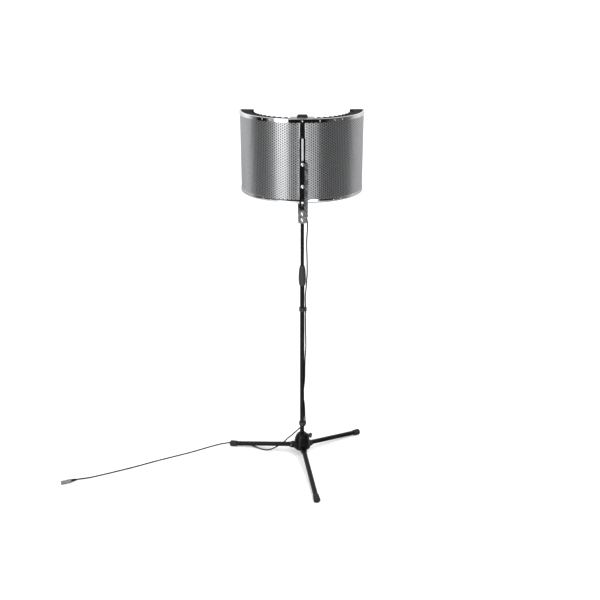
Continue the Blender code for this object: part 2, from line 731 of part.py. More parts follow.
def knuckle():
    """The tongue in the hub's fork and the shank that plugs into the leg's tube."""
    outline = [(LEG_START, -TONGUE_R), (LEG_START, TONGUE_R)]
    outline += arc_points((0, 0), TONGUE_R, 90, 270, EYE_STEPS)
    tongue = extruded("knuckle", [outline], TONGUE_WIDTH, UPRIGHT)
    start, end = LEG_START - GAP, LEG_START + COLLAR_LENGTH
    collar = cylinder("collar", LEG_R, (start, 0, 0), (end, 0, 0), ROUND)
    shank_r = LEG_BORE_R - GAP
    shank = cylinder("shank", shank_r, (LEG_START, 0, 0), (LEG_START + SHANK_LENGTH, 0, 0), ROUND)
    bore = cylinder("bore", PIN_R + GAP, (0, -FORK_WIDTH, 0), (0, FORK_WIDTH, 0))
    return cut(fused(tongue, collar, shank), bore)


def foot_cap():
    """A rubber cap on the end of the tube, cut flat where it stands on the floor."""
    start, end = FOOT_REACH - FOOT_LENGTH / 2, FOOT_REACH + FOOT_LENGTH / 2
    bore = LEG_R + GAP
    bottom = start + FOOT_BORE_DEPTH
    round_off = FOOT_EDGE * (1 - math.sqrt(0.5))
    edge = arc_points((FOOT_R - FOOT_EDGE, end - FOOT_EDGE), FOOT_EDGE, 90, 0, EDGE_FACETS)
    profile = [(0, end), *edge, (FOOT_NECK_R, start + round_off)]
    profile += [(FOOT_NECK_R - round_off, start), (bore, start), (bore, bottom), (0, bottom)]
    cap = turned("foot_cap", profile, solid=True)
    aim(cap, (0, 0, 0), (1, 0, 0))
    cap.data.transform(leg_frame())
    width = 2 * FOOT_R
    floor = box("floor", (0, -width, -PIVOT_Z - width), (FOOT_REACH + width, width, -PIVOT_Z))
    return cut(cap, floor)


def make_legs(root):
    """Three legs of the same pieces, each under an empty on its own pivot."""
    start = LEG_START + COLLAR_LENGTH + GAP
    end = FOOT_REACH - FOOT_LENGTH / 2 + FOOT_BORE_DEPTH - GAP
    tongue = knuckle()
    pipe = tube("pipe", LEG_R, LEG_BORE_R, start, end)
    aim(pipe, (0, 0, 0), (1, 0, 0))
    for piece in (tongue, pipe):
        piece.data.transform(leg_frame())
    first = {"leg_knuckle_": tongue, "leg_tube_": pipe, "foot_cap_": foot_cap()}
    finishes = {"leg_knuckle_": BLACK_PAINT, "leg_tube_": BLACK_PAINT, "foot_cap_": RUBBER}
    half = FORK_WIDTH / 2 - GAP
    for number, (side, azimuth) in enumerate(LEG_AZIMUTHS.items()):
        frame = radial_frame(azimuth, PIVOT_RADIUS, PIVOT_Z)
        pivot = holder("leg_" + side + "_pivot", frame.translation, root, azimuth)
        for word, piece in first.items():
            if number == 0:
                piece.name = word + side
                put(piece, pivot, finishes[word], local=True)
            else:
                copy_of(piece, word + side, pivot)
        pin = cylinder("leg_pin_" + side, PIN_R, (0, -half, 0), (0, half, 0))
        pin.data.transform(frame)
        put(pin, root, STEEL)


# ------------------------------------------------------------------ stand: wing screw and clips
def make_wing_screw(root):
    axis = holder("wing_screw_axis", (0, 0, WING_Z), root, WING_AZIMUTH)
    start = BOSS_END + FREE
    count = WING_LOBES * LOBE_STEPS
    outline = []
    for i in range(count):
        turn = 2 * math.pi * i / count
        radius = WING_R - WING_LOBE_DEPTH * (1 - math.cos(WING_LOBES * turn))
        outline.append((radius * math.cos(turn), radius * math.sin(turn)))
    knob = extruded("wing_knob", [outline], WING_LENGTH)
    aim(knob, (start + WING_LENGTH / 2, 0, 0), (1, 0, 0))
    socket_end = start + WING_LENGTH - WING_CAP
    socket = cylinder("socket", WING_STUD_R + GAP, (0, 0, 0), (socket_end, 0, 0))
    put(cut(knob, socket), axis, BLACK_PLASTIC, local=True)
    tip = TUBE_R + GAP
    stud = cylinder("wing_stud", WING_STUD_R, (tip, 0, 0), (socket_end - GAP, 0, 0))
    put(stud, axis, STEEL, local=True)


def make_clip(name, span, cable, root):
    """A snap ring round the tube with an eye for the cable and a mouth on the far side."""
    low, high = span
    ring = cylinder(name, CLIP_RING_R, (0, 0, low), (0, 0, high), ROUND)
    eye = cylinder("eye", CLIP_LOOP_R, (*cable, low), (*cable, high))
    below, above = low - CLIP_WALL, high + CLIP_WALL
    tube_bore = cylinder("tube_bore", TUBE_R + GAP, (0, 0, below), (0, 0, above), ROUND)
    eye_bore = cylinder("eye_bore", CABLE_R + GAP, (*cable, below), (*cable, above))
    half = CLIP_MOUTH / 2
    mouth = box("mouth", (-2 * CLIP_RING_R, -half, below), (-ROD_R, half, above))
    clip = cut(fused(ring, eye), tube_bore, eye_bore, mouth)
    put(clip, root, BLACK_PLASTIC)


# ------------------------------------------------------------------ bracket
def make_clamp(bracket):
    top, foot = CLAMP_WIDTH / 2, CLAMP_FOOT_WIDTH / 2
    outline = [(-foot, CLAMP_BOTTOM), (foot, CLAMP_BOTTOM), (top, CLAMP_TOP), (-top, CLAMP_TOP)]
    depth = CLAMP_BACK_Y - CLAMP_FRONT_Y
    body = extruded("clamp_body", [outline], depth, UPRIGHT)
    body.data.transform(Matrix.Translation((0, (CLAMP_FRONT_Y + CLAMP_BACK_Y) / 2, 0)))
    body = rounded(body, CLAMP_BEVEL)
    ends = (0, 0, CLAMP_BOTTOM - CLAMP_BEVEL), (0, 0, CLAMP_TOP + CLAMP_BEVEL)
    tools = [cylinder("bore", ROD_R + FREE, *ends, ROUND)]
    for up in CLAMP_SCREW_HEIGHTS.values():
        z = CLAMP_BOTTOM + up
        tools.append(cylinder("hole", BOLT_R + GAP, (0, 2 * CLAMP_FRONT_Y, z), (0, 0, z)))
    put(cut(body, *tools), bracket, NICKEL)


def make_bar(bracket):
    half = BAR_WIDTH / 2
    outline = [(-half, BAR_BOTTOM), (half, BAR_BOTTOM)]
    outline += arc_points((0, BAR_TOP - half), half, 0, 180, BAR_STEPS)
    slot_half = SLOT_WIDTH / 2
    slot = stadium((0, SLOT_BOTTOM + slot_half), (0, SLOT_TOP - slot_half), slot_half)
    bar = extruded("slotted_bar", [outline, slot], BAR_WALL, UPRIGHT)
    bar.data.transform(Matrix.Translation((0, BAR_BACK_Y - BAR_WALL / 2, 0)))
    put(bar, bracket, BLACK_PAINT)
    left, right = STIFFENER_LEFT, STIFFENER_RIGHT
    corner = (right - left) / 2
    strip = [(left, STIFFENER_BOTTOM), (right, STIFFENER_BOTTOM)]
    strip += arc_points((left + corner, STIFFENER_TOP - corner), corner, 0, 180, SLOT_STEPS)
    plate = extruded("bar_stiffener", [strip], STIFFENER_WALL, UPRIGHT)
    front = BAR_FRONT_Y - GAP - STIFFENER_WALL / 2
    plate.data.transform(Matrix.Translation((0, front, 0)))
    put(plate, bracket, NICKEL)


def make_arm(bracket):
    """An angle bar: a tab on the back of the clamp and a slotted run under the shield."""
    tip = ARM_START_Y + ARM_LENGTH
    low = ARM_TOP - ARM_WALL
    inner = ARM_START_Y + ARM_WALL
    outline = [(ARM_START_Y, ARM_TAB_BOTTOM), (inner, ARM_TAB_BOTTOM), (inner, low)]
    outline += [(tip, low), (tip, ARM_TOP), (ARM_START_Y, ARM_TOP)]
    arm = extruded("mic_arm", [outline], ARM_WIDTH, Matrix.Rotation(math.pi / 2, 4, "Z") @ UPRIGHT)
    half = STUD_NECK_R + FREE
    slot_low = (ARM_START_Y + ARM_SLOT_START + half, 0)
    slot_high = (ARM_START_Y + ARM_SLOT_START + ARM_SLOT_LENGTH - half, 0)
    ends = arc_points(slot_high, half, -90, 90, SLOT_STEPS)
    ends += arc_points(slot_low, half, 90, 270, SLOT_STEPS)
    slot = extruded("slot", [[(-y, x) for x, y in ends]], ARM_WIDTH)
    slot.data.transform(Matrix.Translation((0, 0, ARM_TOP)))
    put(cut(arm, slot), bracket, BLACK_PAINT)


def domed_screw(name, length):
    """A screw along Y: its domed head in front of the origin, its shank behind it."""
    profile = dome(HEAD_R, HEAD_HEIGHT, HEAD_HEIGHT)
    profile += [(BOLT_R, 0), (BOLT_R, -length), (0, -length)]
    screw = turned(name, profile, HEAD_STEPS, solid=True)
    aim(screw, (0, 0, 0), (0, -1, 0))
    return screw


def make_clamp_screws(bracket):
    seat = CLAMP_FRONT_Y - GAP
    tip = -ROD_R - 2 * GAP
    for side, up in CLAMP_SCREW_HEIGHTS.items():
        axis = holder("clamp_screw_" + side + "_axis", (0, seat, CLAMP_BOTTOM + up), bracket)
        screw = domed_screw("clamp_screw_" + side, tip - seat)
        put(screw, axis, CHROME, local=True)


# ------------------------------------------------------------------ shield
def rivet(angle, z):
    """A domed rivet head on the rim, its axis pointing out from the shield."""
    profile = dome(RIVET_R, RIVET_HEIGHT, RIVET_HEIGHT, RIVET_FACETS)
    profile += [(RIVET_R, -GAP), (0, -GAP)]
    head = turned("rivet", profile, RIVET_STEPS, solid=True)
    turn = math.radians(angle) - math.pi / 2
    outward = Vector((math.cos(turn), math.sin(turn), 0))
    aim(head, Vector((0, SHIELD_CENTRE_Y, z)) + outward * (SHIELD_R - GAP), outward)
    return head


def make_rims(shield):
    """The two angle rims, each with the heads of the rivets that hold it to the shell."""
    inner, wall = SHIELD_R - RIM_FLANGE, SHIELD_R - RIM_WALL
    for name, face, up in (("top_rim", SHIELD_TOP, -1), ("bottom_rim", SHIELD_BOTTOM, 1)):
        edge, ledge = face + up * RIM_BAND, face + up * RIM_WALL
        section = [(inner, face), (SHIELD_R, face), (SHIELD_R, edge)]
        section += [(wall, edge), (wall, ledge), (inner, ledge)]
        rim = bent(name, section)
        z = (face + edge) / 2
        heads = [rivet(sign * angle, z) for angle in RIVET_ANGLES for sign in (-1, 1)]
        put(fused(rim, *heads), shield, CHROME)


def bolt_bores(radius):
    """Bores along Y for the two bolts that hold the shield to its bar."""
    heights = [SHIELD_BOTTOM + up for up in BOLT_HEIGHTS.values()]
    return [cylinder("bore", radius, (0, 2 * BAR_FRONT_Y, z), (0, 0, z)) for z in heights]


def make_layers(shield):
    """From the outside in: perforated shell, felt, inner liner and foam."""
    inside = (INNER_BOTTOM, INNER_TOP)
    shell = bent("perforated_shell", band(SHELL_R_OUT, SHELL_R_OUT - SHELL_WALL, *inside))
    put(cut(shell, *bolt_bores(BOLT_R + GAP)), shield, ALUMINIUM)
    felt = bent("felt_layer", band(FELT_R_OUT, FELT_R_OUT - FELT_THICKNESS, *inside))
    half = NUT_PLATE_WIDTH / 2 + GAP
    low, high = nut_plate_span()
    back = NUT_PLATE_FRONT_Y + NUT_PLATE_WALL + GAP
    pocket = box("pocket", (-half, BAR_FRONT_Y, low - GAP), (half, back, high + GAP))
    put(cut(felt, pocket), shield, FELT)
    liner = bent("inner_liner", band(LINER_R_OUT, LINER_R_OUT - LINER_WALL, *inside))
    put(liner, shield, ALUMINIUM)
    low, high = SHIELD_BOTTOM + FOAM_INSET, SHIELD_TOP - FOAM_INSET
    put(bent("foam_absorber", band(FOAM_R_OUT, FOAM_R_IN, low, high)), shield, FOAM)


def nut_plate_span():
    heights = [SHIELD_BOTTOM + up for up in BOLT_HEIGHTS.values()]
    return min(heights) - NUT_PLATE_MARGIN, max(heights) + NUT_PLATE_MARGIN


def make_centre(shield):
    """The seam plate, the strip over it and the plate inside that the bolts screw into."""
    low, high = SHIELD_BOTTOM + RIM_BAND + GAP, SHIELD_TOP - RIM_BAND - GAP
    half = SEAM_WIDTH / 2
    back = SEAM_FRONT_Y + SEAM_WALL
    seam = box("seam_plate", (-half, SEAM_FRONT_Y, low), (half, back, high))
    put(cut(seam, *bolt_bores(BOLT_R + GAP)), shield, ALUMINIUM)
    half = STRIP_WIDTH / 2
    back = STRIP_FRONT_Y + STRIP_WALL
    strip = box("centre_strip", (-half, STRIP_FRONT_Y, low), (half, back, high))
    half = SLOT_WIDTH / 2
    low = SHIELD_BOTTOM + BOLT_HEIGHTS["upper"] + WINDOW_MARGIN
    window = box("window", (-half, BAR_FRONT_Y, low), (half, back + GAP, SLOT_TOP))
    put(cut(strip, window, *bolt_bores(BOLT_R + GAP)), shield, BLACK_PAINT)
    low, high = nut_plate_span()
    half = NUT_PLATE_WIDTH / 2
    front = NUT_PLATE_FRONT_Y
    plate = box("nut_plate", (-half, front, low), (half, front + NUT_PLATE_WALL, high))
    put(cut(plate, *bolt_bores(BOLT_R + GAP)), shield, STEEL)


def make_rim_screw(shield):
    """The small screw through the top rim into the strip."""
    profile = dome(STRIP_SCREW_R, STRIP_SCREW_HEIGHT, STRIP_SCREW_HEIGHT, RIVET_FACETS)
    profile.append((0, 0))
    screw = turned("top_rim_screw", profile, RIVET_STEPS, solid=True)
    aim(screw, (0, SHIELD_FRONT_Y - GAP, SHIELD_TOP - RIM_BAND / 2), (0, -1, 0))
    put(screw, shield, CHROME)


def make_end_rails(shield):
    """A flat rail over each open end of the sandwich, clear of the foam."""
    inner, outer = SHIELD_R - RIM_FLANGE, SHIELD_R
    for side, sign in (("left", -1), ("right", 1)):
        low, high = (inner, GAP, SHIELD_BOTTOM), (outer, GAP + END_RAIL_WALL, SHIELD_TOP)
        if sign < 0:
            low, high = (inner, -GAP - END_RAIL_WALL, SHIELD_BOTTOM), (outer, -GAP, SHIELD_TOP)
        rail = box("end_rail_" + side, low, high)
        turn = Matrix.Rotation(sign * SHIELD_HALF_ANGLE - math.pi / 2, 4, "Z")
        rail.data.transform(Matrix.Translation((0, SHIELD_CENTRE_Y, 0)) @ turn)
        put(rail, shield, CHROME)


def make_top_fittings(shield):
    """The cover plate over the middle of the top edge and the hook on its inner end."""
    level = SHIELD_TOP + GAP + TOP_PLATE_WALL
    section = band(SHIELD_R, FOAM_R_IN, level - TOP_PLATE_WALL, level)
    plate = bent("top_plate", section, TOP_PLATE_HALF_ANGLE)
    put(plate, shield, NICKEL)
    base = level + GAP
    low, high = HOOK_WIDTH / 2, HOOK_TOP_WIDTH / 2
    top = base + HOOK_HEIGHT
    outline = [(-low, base), (low, base), (high, top), (-high, top)]
    hook = extruded("top_hook", [outline], HOOK_DEPTH, UPRIGHT)
    middle = SHIELD_CENTRE_Y - FOAM_R_IN - HOOK_DEPTH / 2
    hook.data.transform(Matrix.Translation((0, middle, 0)))
    put(rounded(hook, HOOK_BEVEL), shield, BLACK_PLASTIC)


def make_height_bolts(shield):
    head = BAR_FRONT_Y - GAP
    tip = NUT_PLATE_FRONT_Y + NUT_PLATE_WALL - GAP
    for side, up in BOLT_HEIGHTS.items():
        axis = holder("height_bolt_" + side + "_axis", (0, head, SHIELD_BOTTOM + up), shield)
        put(domed_screw("height_bolt_" + side, tip - head), axis, CHROME, local=True)


# ------------------------------------------------------------------ microphone stud
def make_stud(stud):
    seat = ARM_TOP + GAP
    low = ARM_TOP - ARM_WALL - GAP
    nut_low = low - STUD_NUT_HEIGHT
    shoulder = seat + STUD_SHOULDER
    top, tail = shoulder + STUD_LENGTH, nut_low - STUD_TAIL
    profile = [(0, top), (STUD_R - STUD_CHAMFER, top), (STUD_R, top - STUD_CHAMFER)]
    profile += [(STUD_R, shoulder), (STUD_SHOULDER_R, shoulder), (STUD_SHOULDER_R, seat)]
    profile += [(STUD_NECK_R, seat), (STUD_NECK_R, tail), (0, tail)]
    body = turned("mic_stud", profile, ROUND, solid=True)
    body.data.transform(Matrix.Translation((0, STUD_Y, 0)))
    put(body, stud, NICKEL)
    outlines = [polygon(STUD_NUT_R, HEXAGON), polygon(STUD_NECK_R + GAP, SMALL_ROUND)]
    nut = extruded("stud_nut", outlines, STUD_NUT_HEIGHT)
    nut.data.transform(Matrix.Translation((0, STUD_Y, low - STUD_NUT_HEIGHT / 2)))
    put(nut, stud, NICKEL)


# ------------------------------------------------------------------ cable
def smooth_route(points, step):
    """Points on a smooth curve through the given ones, no further apart than the step."""
    places = [Vector(point) for point in points]
    padded = [2 * places[0] - places[1], *places, 2 * places[-1] - places[-2]]
    route = [places[0]]
    for before, start, end, after in zip(padded, padded[1:], padded[2:], padded[3:]):
        length = (end - start).length
        leave = (end - before) * length / ((start - before).length + length)
        arrive = (after - start) * length / ((after - end).length + length)
        count = max(1, math.ceil(length / step))
        for i in range(1, count + 1):
            t = i / count
            place = start * (2 * t**3 - 3 * t**2 + 1) + end * (3 * t**2 - 2 * t**3)
            route.append(place + leave * (t**3 - 2 * t**2 + t) + arrive * (t**3 - t**2))
    return route


def cable(name, points, parent):
    curve = bpy.data.curves.new(name, "CURVE")
    curve.dimensions = "3D"
    curve.bevel_depth = CABLE_R
    curve.bevel_resolution = 2
    curve.use_fill_caps = True
    route = smooth_route(points, ROUTE_STEP)
    spline = curve.splines.new("POLY")
    spline.points.add(len(route) - 1)
    for point, place in zip(spline.points, route):
        point.co = (*place, 1.0)
    put(freeze(bpy.data.objects.new(name, curve)), parent, RUBBER)


def connector_pieces(kind):
    """Boot and shell along their own Z axis, which starts at the cable, and the shell's depth."""
    bore = CABLE_R + GAP
    outline = [(bore, BOOT_LENGTH), (BOOT_ROOT_R, BOOT_LENGTH), (BOOT_TIP_R, 0), (bore, 0)]
    boot = turned(kind + "_boot", outline, SMALL_ROUND)
    start = BOOT_LENGTH + GAP
    end = start + SHELL_LENGTH
    floor = end - FACE_DEPTH
    outline = [(0, floor), (CONNECTOR_BORE_R, floor), (CONNECTOR_BORE_R, end), (SHELL_R, end)]
    outline += [(SHELL_R, start + SHELL_SHOULDER), (BOOT_ROOT_R, start), (0, start)]
    shell = turned(kind + "_shell", outline, ROUND, solid=True)
    return boot, shell, floor, end


def make_socket(bracket, arm_axis):
    """The female connector in its clip on the arm, with its latch button."""
    start = Vector(SOCKET_START)
    boot, shell, shoulder, end = connector_pieces("socket")
    face = [(0, end - GAP), (CONNECTOR_BORE_R - GAP, end - GAP)]
    face += [(CONNECTOR_BORE_R - GAP, shoulder + GAP), (0, shoulder + GAP)]
    insert = turned("socket_insert", face, ROUND, solid=True)
    holes = contact_bars("hole", CONTACT_R + GAP, shoulder + CONTACT_DEPTH, end + CONTACT_DEPTH)
    insert = cut(insert, *holes)
    for piece in (boot, shell, insert):
        aim(piece, start, (0, 1, 0))
    long_x, long_y, tall = LATCH_SIZE
    y = start.y + end - FACE_DEPTH - long_y
    top = start.z + SHELL_R + LATCH_PROUD
    floor = top - tall - LATCH_TRAVEL - GAP
    room = box(
        "room",
        (start.x - long_x / 2 - GAP, y - GAP, floor),
        (start.x + long_x / 2 + GAP, y + long_y + GAP, top + tall),
    )
    put(cut(shell, room), bracket, STEEL)
    put(boot, bracket, RUBBER)
    put(insert, bracket, BLACK_PLASTIC)
    low = (start.x - long_x / 2, y, top - tall)
    latch = box("socket_latch", low, (start.x + long_x / 2, y + long_y, top))
    put(latch, arm_axis, STEEL)


def contact_bars(name, radius, start, end):
    """Three round bars on the contacts' circle."""
    angles = [math.radians(90 + 120 * i) for i in range(3)]
    spots = [(PIN_CIRCLE_R * math.cos(a), PIN_CIRCLE_R * math.sin(a)) for a in angles]
    return [cylinder(name, radius, (x, y, start), (x, y, end), CONTACT_SIDES) for x, y in spots]


def make_plug(root):
    """The male connector that lies on the floor at the cable's far end."""
    boot, shell, shoulder, _ = connector_pieces("plug")
    low, high = shoulder + GAP, shoulder + GAP + PLUG_DISC
    radius = CONNECTOR_BORE_R - GAP
    disc = turned("plug_pins", [(0, high), (radius, high), (radius, low), (0, low)], solid=True)
    pins = fused(disc, *contact_bars("pin", CONTACT_R, low + PLUG_DISC / 2, high + CONTACT_LENGTH))
    for piece, finish in ((boot, RUBBER), (shell, STEEL), (pins, STEEL)):
        aim(piece, Vector(PLUG_START), PLUG_HEADING)
        put(piece, root, finish)


def make_socket_clip(bracket):
    """A ring round the connector with a pad against the side of the arm."""
    x, start_y, z = SOCKET_START
    low = start_y + BOOT_LENGTH + SOCKET_CLIP_OFFSET
    high = low + SOCKET_CLIP_WIDTH
    bore = SHELL_R + GAP
    outer = bore + SOCKET_CLIP_WALL
    ring = cylinder("socket_clip", outer, (x, low, z), (x, high, z), ROUND)
    side, pad_half = ARM_WIDTH / 2 + GAP, SOCKET_PAD_HALF
    below, above = low - SOCKET_CLIP_WALL, high + SOCKET_CLIP_WALL
    pad = box("pad", (side, low, z - pad_half), (x - SHELL_R, high, z + pad_half))
    hole = cylinder("hole", bore, (x, below, z), (x, above, z), ROUND)
    mouth = box("mouth", (x, below, z - pad_half), (x + 2 * outer, above, z + pad_half))
    put(cut(fused(ring, pad), hole, mouth), bracket, BLACK_PLASTIC)


# ------------------------------------------------------------------ assembly
def centre_footprint(root, cable_words=("cable", "plug", "socket_")):
    """Moves the object so that the middle of its footprint, without the cable, is at the origin."""
    bpy.context.view_layer.update()
    xs, ys = [], []
    for obj in PARTS.objects:
        if obj.type != "MESH" or any(word in obj.name for word in cable_words):
            continue
        for vertex in obj.data.vertices:
            place = obj.matrix_world @ vertex.co
            xs.append(place.x)
            ys.append(place.y)
    root.location = (-(min(xs) + max(xs)) / 2, -(min(ys) + max(ys)) / 2, 0)


def main():
    root = holder("stand")
    make_hub(root)
    make_tubes(root)
    make_clutch(root)
    make_legs(root)
    make_wing_screw(root)
    make_clip("cable_clip_upper", UPPER_CLIP_SPAN, UPPER_CLIP_CABLE, root)
    make_clip("cable_clip_lower", LOWER_CLIP_SPAN, LOWER_CLIP_CABLE, root)
    rod = holder("rod_slide", (0, 0, ROD_BOTTOM), root)
    make_rod(rod)
    bracket = holder("bracket_axis", (0, 0, CLAMP_BOTTOM), rod)
    make_clamp(bracket)
    make_bar(bracket)
    make_arm(bracket)
    make_clamp_screws(bracket)
    shield = holder("shield_slide", (0, SHIELD_CENTRE_Y, SHIELD_BOTTOM), bracket)
    make_rims(shield)
    make_layers(shield)
    make_centre(shield)
    make_rim_screw(shield)
    make_end_rails(shield)
    make_top_fittings(shield)
    make_height_bolts(shield)
    make_stud(holder("mic_stud_slide", (0, STUD_Y, ARM_TOP), bracket))
    latch_axis = holder("socket_latch_slide", SOCKET_START, bracket)
    make_socket(bracket, latch_axis)
    make_socket_clip(bracket)
    make_plug(root)
    cable("mic_cable_head", HEAD_ROUTE, bracket)
    cable("mic_cable_upper", UPPER_ROUTE, rod)
    cable("mic_cable_lower", LOWER_ROUTE, root)
    centre_footprint(root)


main()
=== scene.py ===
# %% [markdown]
# # A microphone isolation shield on its folding stand
# A singer stands behind the curved screen and sings towards its foam, so that the room's own sound
# doesn't reach the microphone. The screen is a sandwich: a perforated metal shell outside, felt, a
# liner and foam inside, closed by two bright rims. A slotted bar and a clamp carry it on a pole.
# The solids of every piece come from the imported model. This script gives them their looks: finer
# meshes where the real piece is finer, a finish for every surface, and a small studio.

# %% Load the frame
import json
import math

import bmesh
import bpy
import numpy as np
from mathutils import Matrix, Vector, noise

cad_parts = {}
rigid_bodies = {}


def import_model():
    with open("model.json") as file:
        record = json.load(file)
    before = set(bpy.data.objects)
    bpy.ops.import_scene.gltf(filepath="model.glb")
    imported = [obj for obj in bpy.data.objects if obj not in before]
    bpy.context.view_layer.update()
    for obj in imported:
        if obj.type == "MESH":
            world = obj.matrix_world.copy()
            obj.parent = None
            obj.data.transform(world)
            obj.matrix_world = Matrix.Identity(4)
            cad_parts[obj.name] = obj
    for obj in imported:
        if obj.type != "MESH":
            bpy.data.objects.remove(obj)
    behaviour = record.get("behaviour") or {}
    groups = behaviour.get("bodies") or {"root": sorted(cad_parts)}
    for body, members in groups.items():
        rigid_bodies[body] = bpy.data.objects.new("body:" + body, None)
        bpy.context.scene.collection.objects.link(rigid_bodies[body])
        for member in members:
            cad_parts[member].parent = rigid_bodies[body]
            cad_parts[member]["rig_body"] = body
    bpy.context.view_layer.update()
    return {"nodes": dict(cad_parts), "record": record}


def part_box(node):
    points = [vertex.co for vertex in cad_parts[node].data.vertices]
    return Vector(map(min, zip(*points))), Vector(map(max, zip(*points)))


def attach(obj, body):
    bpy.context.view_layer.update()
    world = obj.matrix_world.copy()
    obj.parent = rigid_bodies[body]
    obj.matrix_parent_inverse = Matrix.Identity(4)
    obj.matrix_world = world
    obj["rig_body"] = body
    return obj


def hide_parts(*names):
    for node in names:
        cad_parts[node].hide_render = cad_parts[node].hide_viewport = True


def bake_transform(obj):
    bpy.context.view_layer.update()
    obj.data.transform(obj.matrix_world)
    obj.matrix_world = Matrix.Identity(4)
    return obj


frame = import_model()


def middle(node):
    low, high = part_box(node)
    return (low + high) / 2


MM = 0.001
POLE = middle("lower_tube")
SHIELD_LOW, SHIELD_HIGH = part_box("top_rim")[0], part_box("top_rim")[1]
RIM_R = (SHIELD_HIGH.x - SHIELD_LOW.x) / 2
SHIELD_AXIS = Vector((POLE.x, SHIELD_LOW.y + RIM_R, 0))
print("pole at", tuple(round(v, 4) for v in POLE.xy), "rim radius", round(RIM_R, 4))

# %% [markdown]
# ## The camera
# The camera stands a little above head height, 3.6 m in front of the pole, and looks down at the
# stand with a short portrait lens. It comes first, because the cable's way over the floor is
# planned by what this view takes in.

# %% Camera
LENS_MM = 50.97
CAMERA_FROM_POLE = Vector((-0.0344, -3.5854, 2.1975))
CAMERA_DOWN = math.radians(20.91)
CAMERA_TURN = math.radians(-0.39)

camera_data = bpy.data.cameras.new("camera")
camera_data.lens = LENS_MM
camera_data.sensor_width = 36
camera = bpy.data.objects.new("camera", camera_data)
bpy.context.scene.collection.objects.link(camera)
camera.location = Vector((POLE.x, POLE.y, 0)) + CAMERA_FROM_POLE
camera.rotation_euler = (math.radians(90) - CAMERA_DOWN, 0, CAMERA_TURN)
bpy.context.scene.camera = camera
print("camera at", tuple(round(v, 3) for v in camera.location))

# %% [markdown]
# ## Two helpers for finishes
# Colours are picked as sRGB hex values, the way a colour card gives them, and Blender mixes light
# in linear values, so one function turns one into the other. A second one adds a shader node with
# its settings and its links, which keeps every finish below short enough to read.


# %% Colour and node helpers
def colour(code):
    """An sRGB hex value as linear RGBA."""
    parts = [int(code[i : i + 2], 16) / 255 for i in (0, 2, 4)]
    linear = [c / 12.92 if c <= 0.04045 else ((c + 0.055) / 1.055) ** 2.4 for c in parts]
    return (*linear, 1.0)


def add(tree, kind, inputs=None, **settings):
    """Adds one node. Inputs are values or the sockets that feed them; settings are its options."""
    made = tree.nodes.new(kind)
    for name, value in settings.items():
        setattr(made, name, value)
    for name, value in (inputs or {}).items():
        if isinstance(value, bpy.types.NodeSocket):
            tree.links.new(value, made.inputs[name])
        else:
            made.inputs[name].default_value = value
    return made


def finish(name, base, roughness, metallic=0.0, **shader_values):
    """A material with its Principled shader set; gives its tree, its shader and the piece's own place."""
    made = bpy.data.materials.new(name)
    made.use_nodes = True
    tree = made.node_tree
    shader = tree.nodes["Principled BSDF"]
    shader.inputs["Base Color"].default_value = base
    shader.inputs["Roughness"].default_value = roughness
    shader.inputs["Metallic"].default_value = metallic
    for key, value in shader_values.items():
        shader.inputs[key.replace("_", " ")].default_value = value
    made.diffuse_color = base
    place = add(tree, "ShaderNodeTexCoord").outputs["Object"]
    return made, tree, shader, place


def wear(tree, place, size, low, high, detail=3.0):
    """Soft patches about `size` metres across, running from low to high."""
    patches = add(tree, "ShaderNodeTexNoise", {"Vector": place, "Scale": 1 / size, "Detail": detail})
    return add(
        tree,
        "ShaderNodeMapRange",
        {"Value": patches.outputs["Fac"], "From Min": 0.3, "From Max": 0.7, "To Min": low, "To Max": high},
    ).outputs["Result"]


def relief(tree, shader, height, depth, strength=1.0):
    """Joins a height pattern to the shader as bump, `depth` metres from its lows to its highs."""
    bump = add(tree, "ShaderNodeBump", {"Height": height, "Distance": depth, "Strength": strength})
    tree.links.new(bump.outputs["Normal"], shader.inputs["Normal"])
    return bump


# %% [markdown]
# ## The cable
# A microphone cable is two thin twisted wires in a woven screen under a soft PVC jacket, 6 mm
# across and limp. It leaves its connector under the screen, runs back along the arm, drops beside
# the pole through two snap clips, and then lies in slow curves on the floor to its other plug. One
# smooth curve through listed points gives that, and a tube is laid along it as a mesh.

# %% The cable's route
CABLE_R = 0.0030
ROUTE_STEP = 0.004
HEAD_ROUTE = (
    (0.0245, 0.0867, 1.2645),
    (0.0241, 0.0800, 1.2645),
    (0.0220, 0.0700, 1.2645),
    (0.0186, 0.0570, 1.2645),
    (0.0163, 0.0430, 1.2642),
    (0.0157, 0.0320, 1.2605),
    (0.0156, 0.0250, 1.2500),
    (0.0158, 0.0228, 1.2360),
    (0.0170, 0.0226, 1.2160),
    (0.0196, 0.0208, 1.2010),
    (0.0219, 0.0160, 1.1890),
    (0.0230, 0.0085, 1.1800),
    (0.0231, 0.0030, 1.1720),
    (0.0228, 0.0013, 1.1640),
)
UPPER_ROUTE = (
    (0.0228, 0.0012, 1.1636),
    (0.0224, 0.0004, 1.1560),
    (0.0213, 0.0000, 1.1400),
    (0.0198, 0.0000, 1.1120),
    (0.0195, -0.0005, 1.0800),
    (0.0208, -0.0010, 1.0410),
    (0.0219, -0.0010, 0.9950),
    (0.0221, -0.0015, 0.9580),
    (0.0203, -0.0030, 0.9260),
    (0.0182, -0.0030, 0.8990),
    (0.0158, -0.0033, 0.8700),
    (0.0138, -0.0045, 0.8420),
    (0.0146, -0.0030, 0.8080),
)
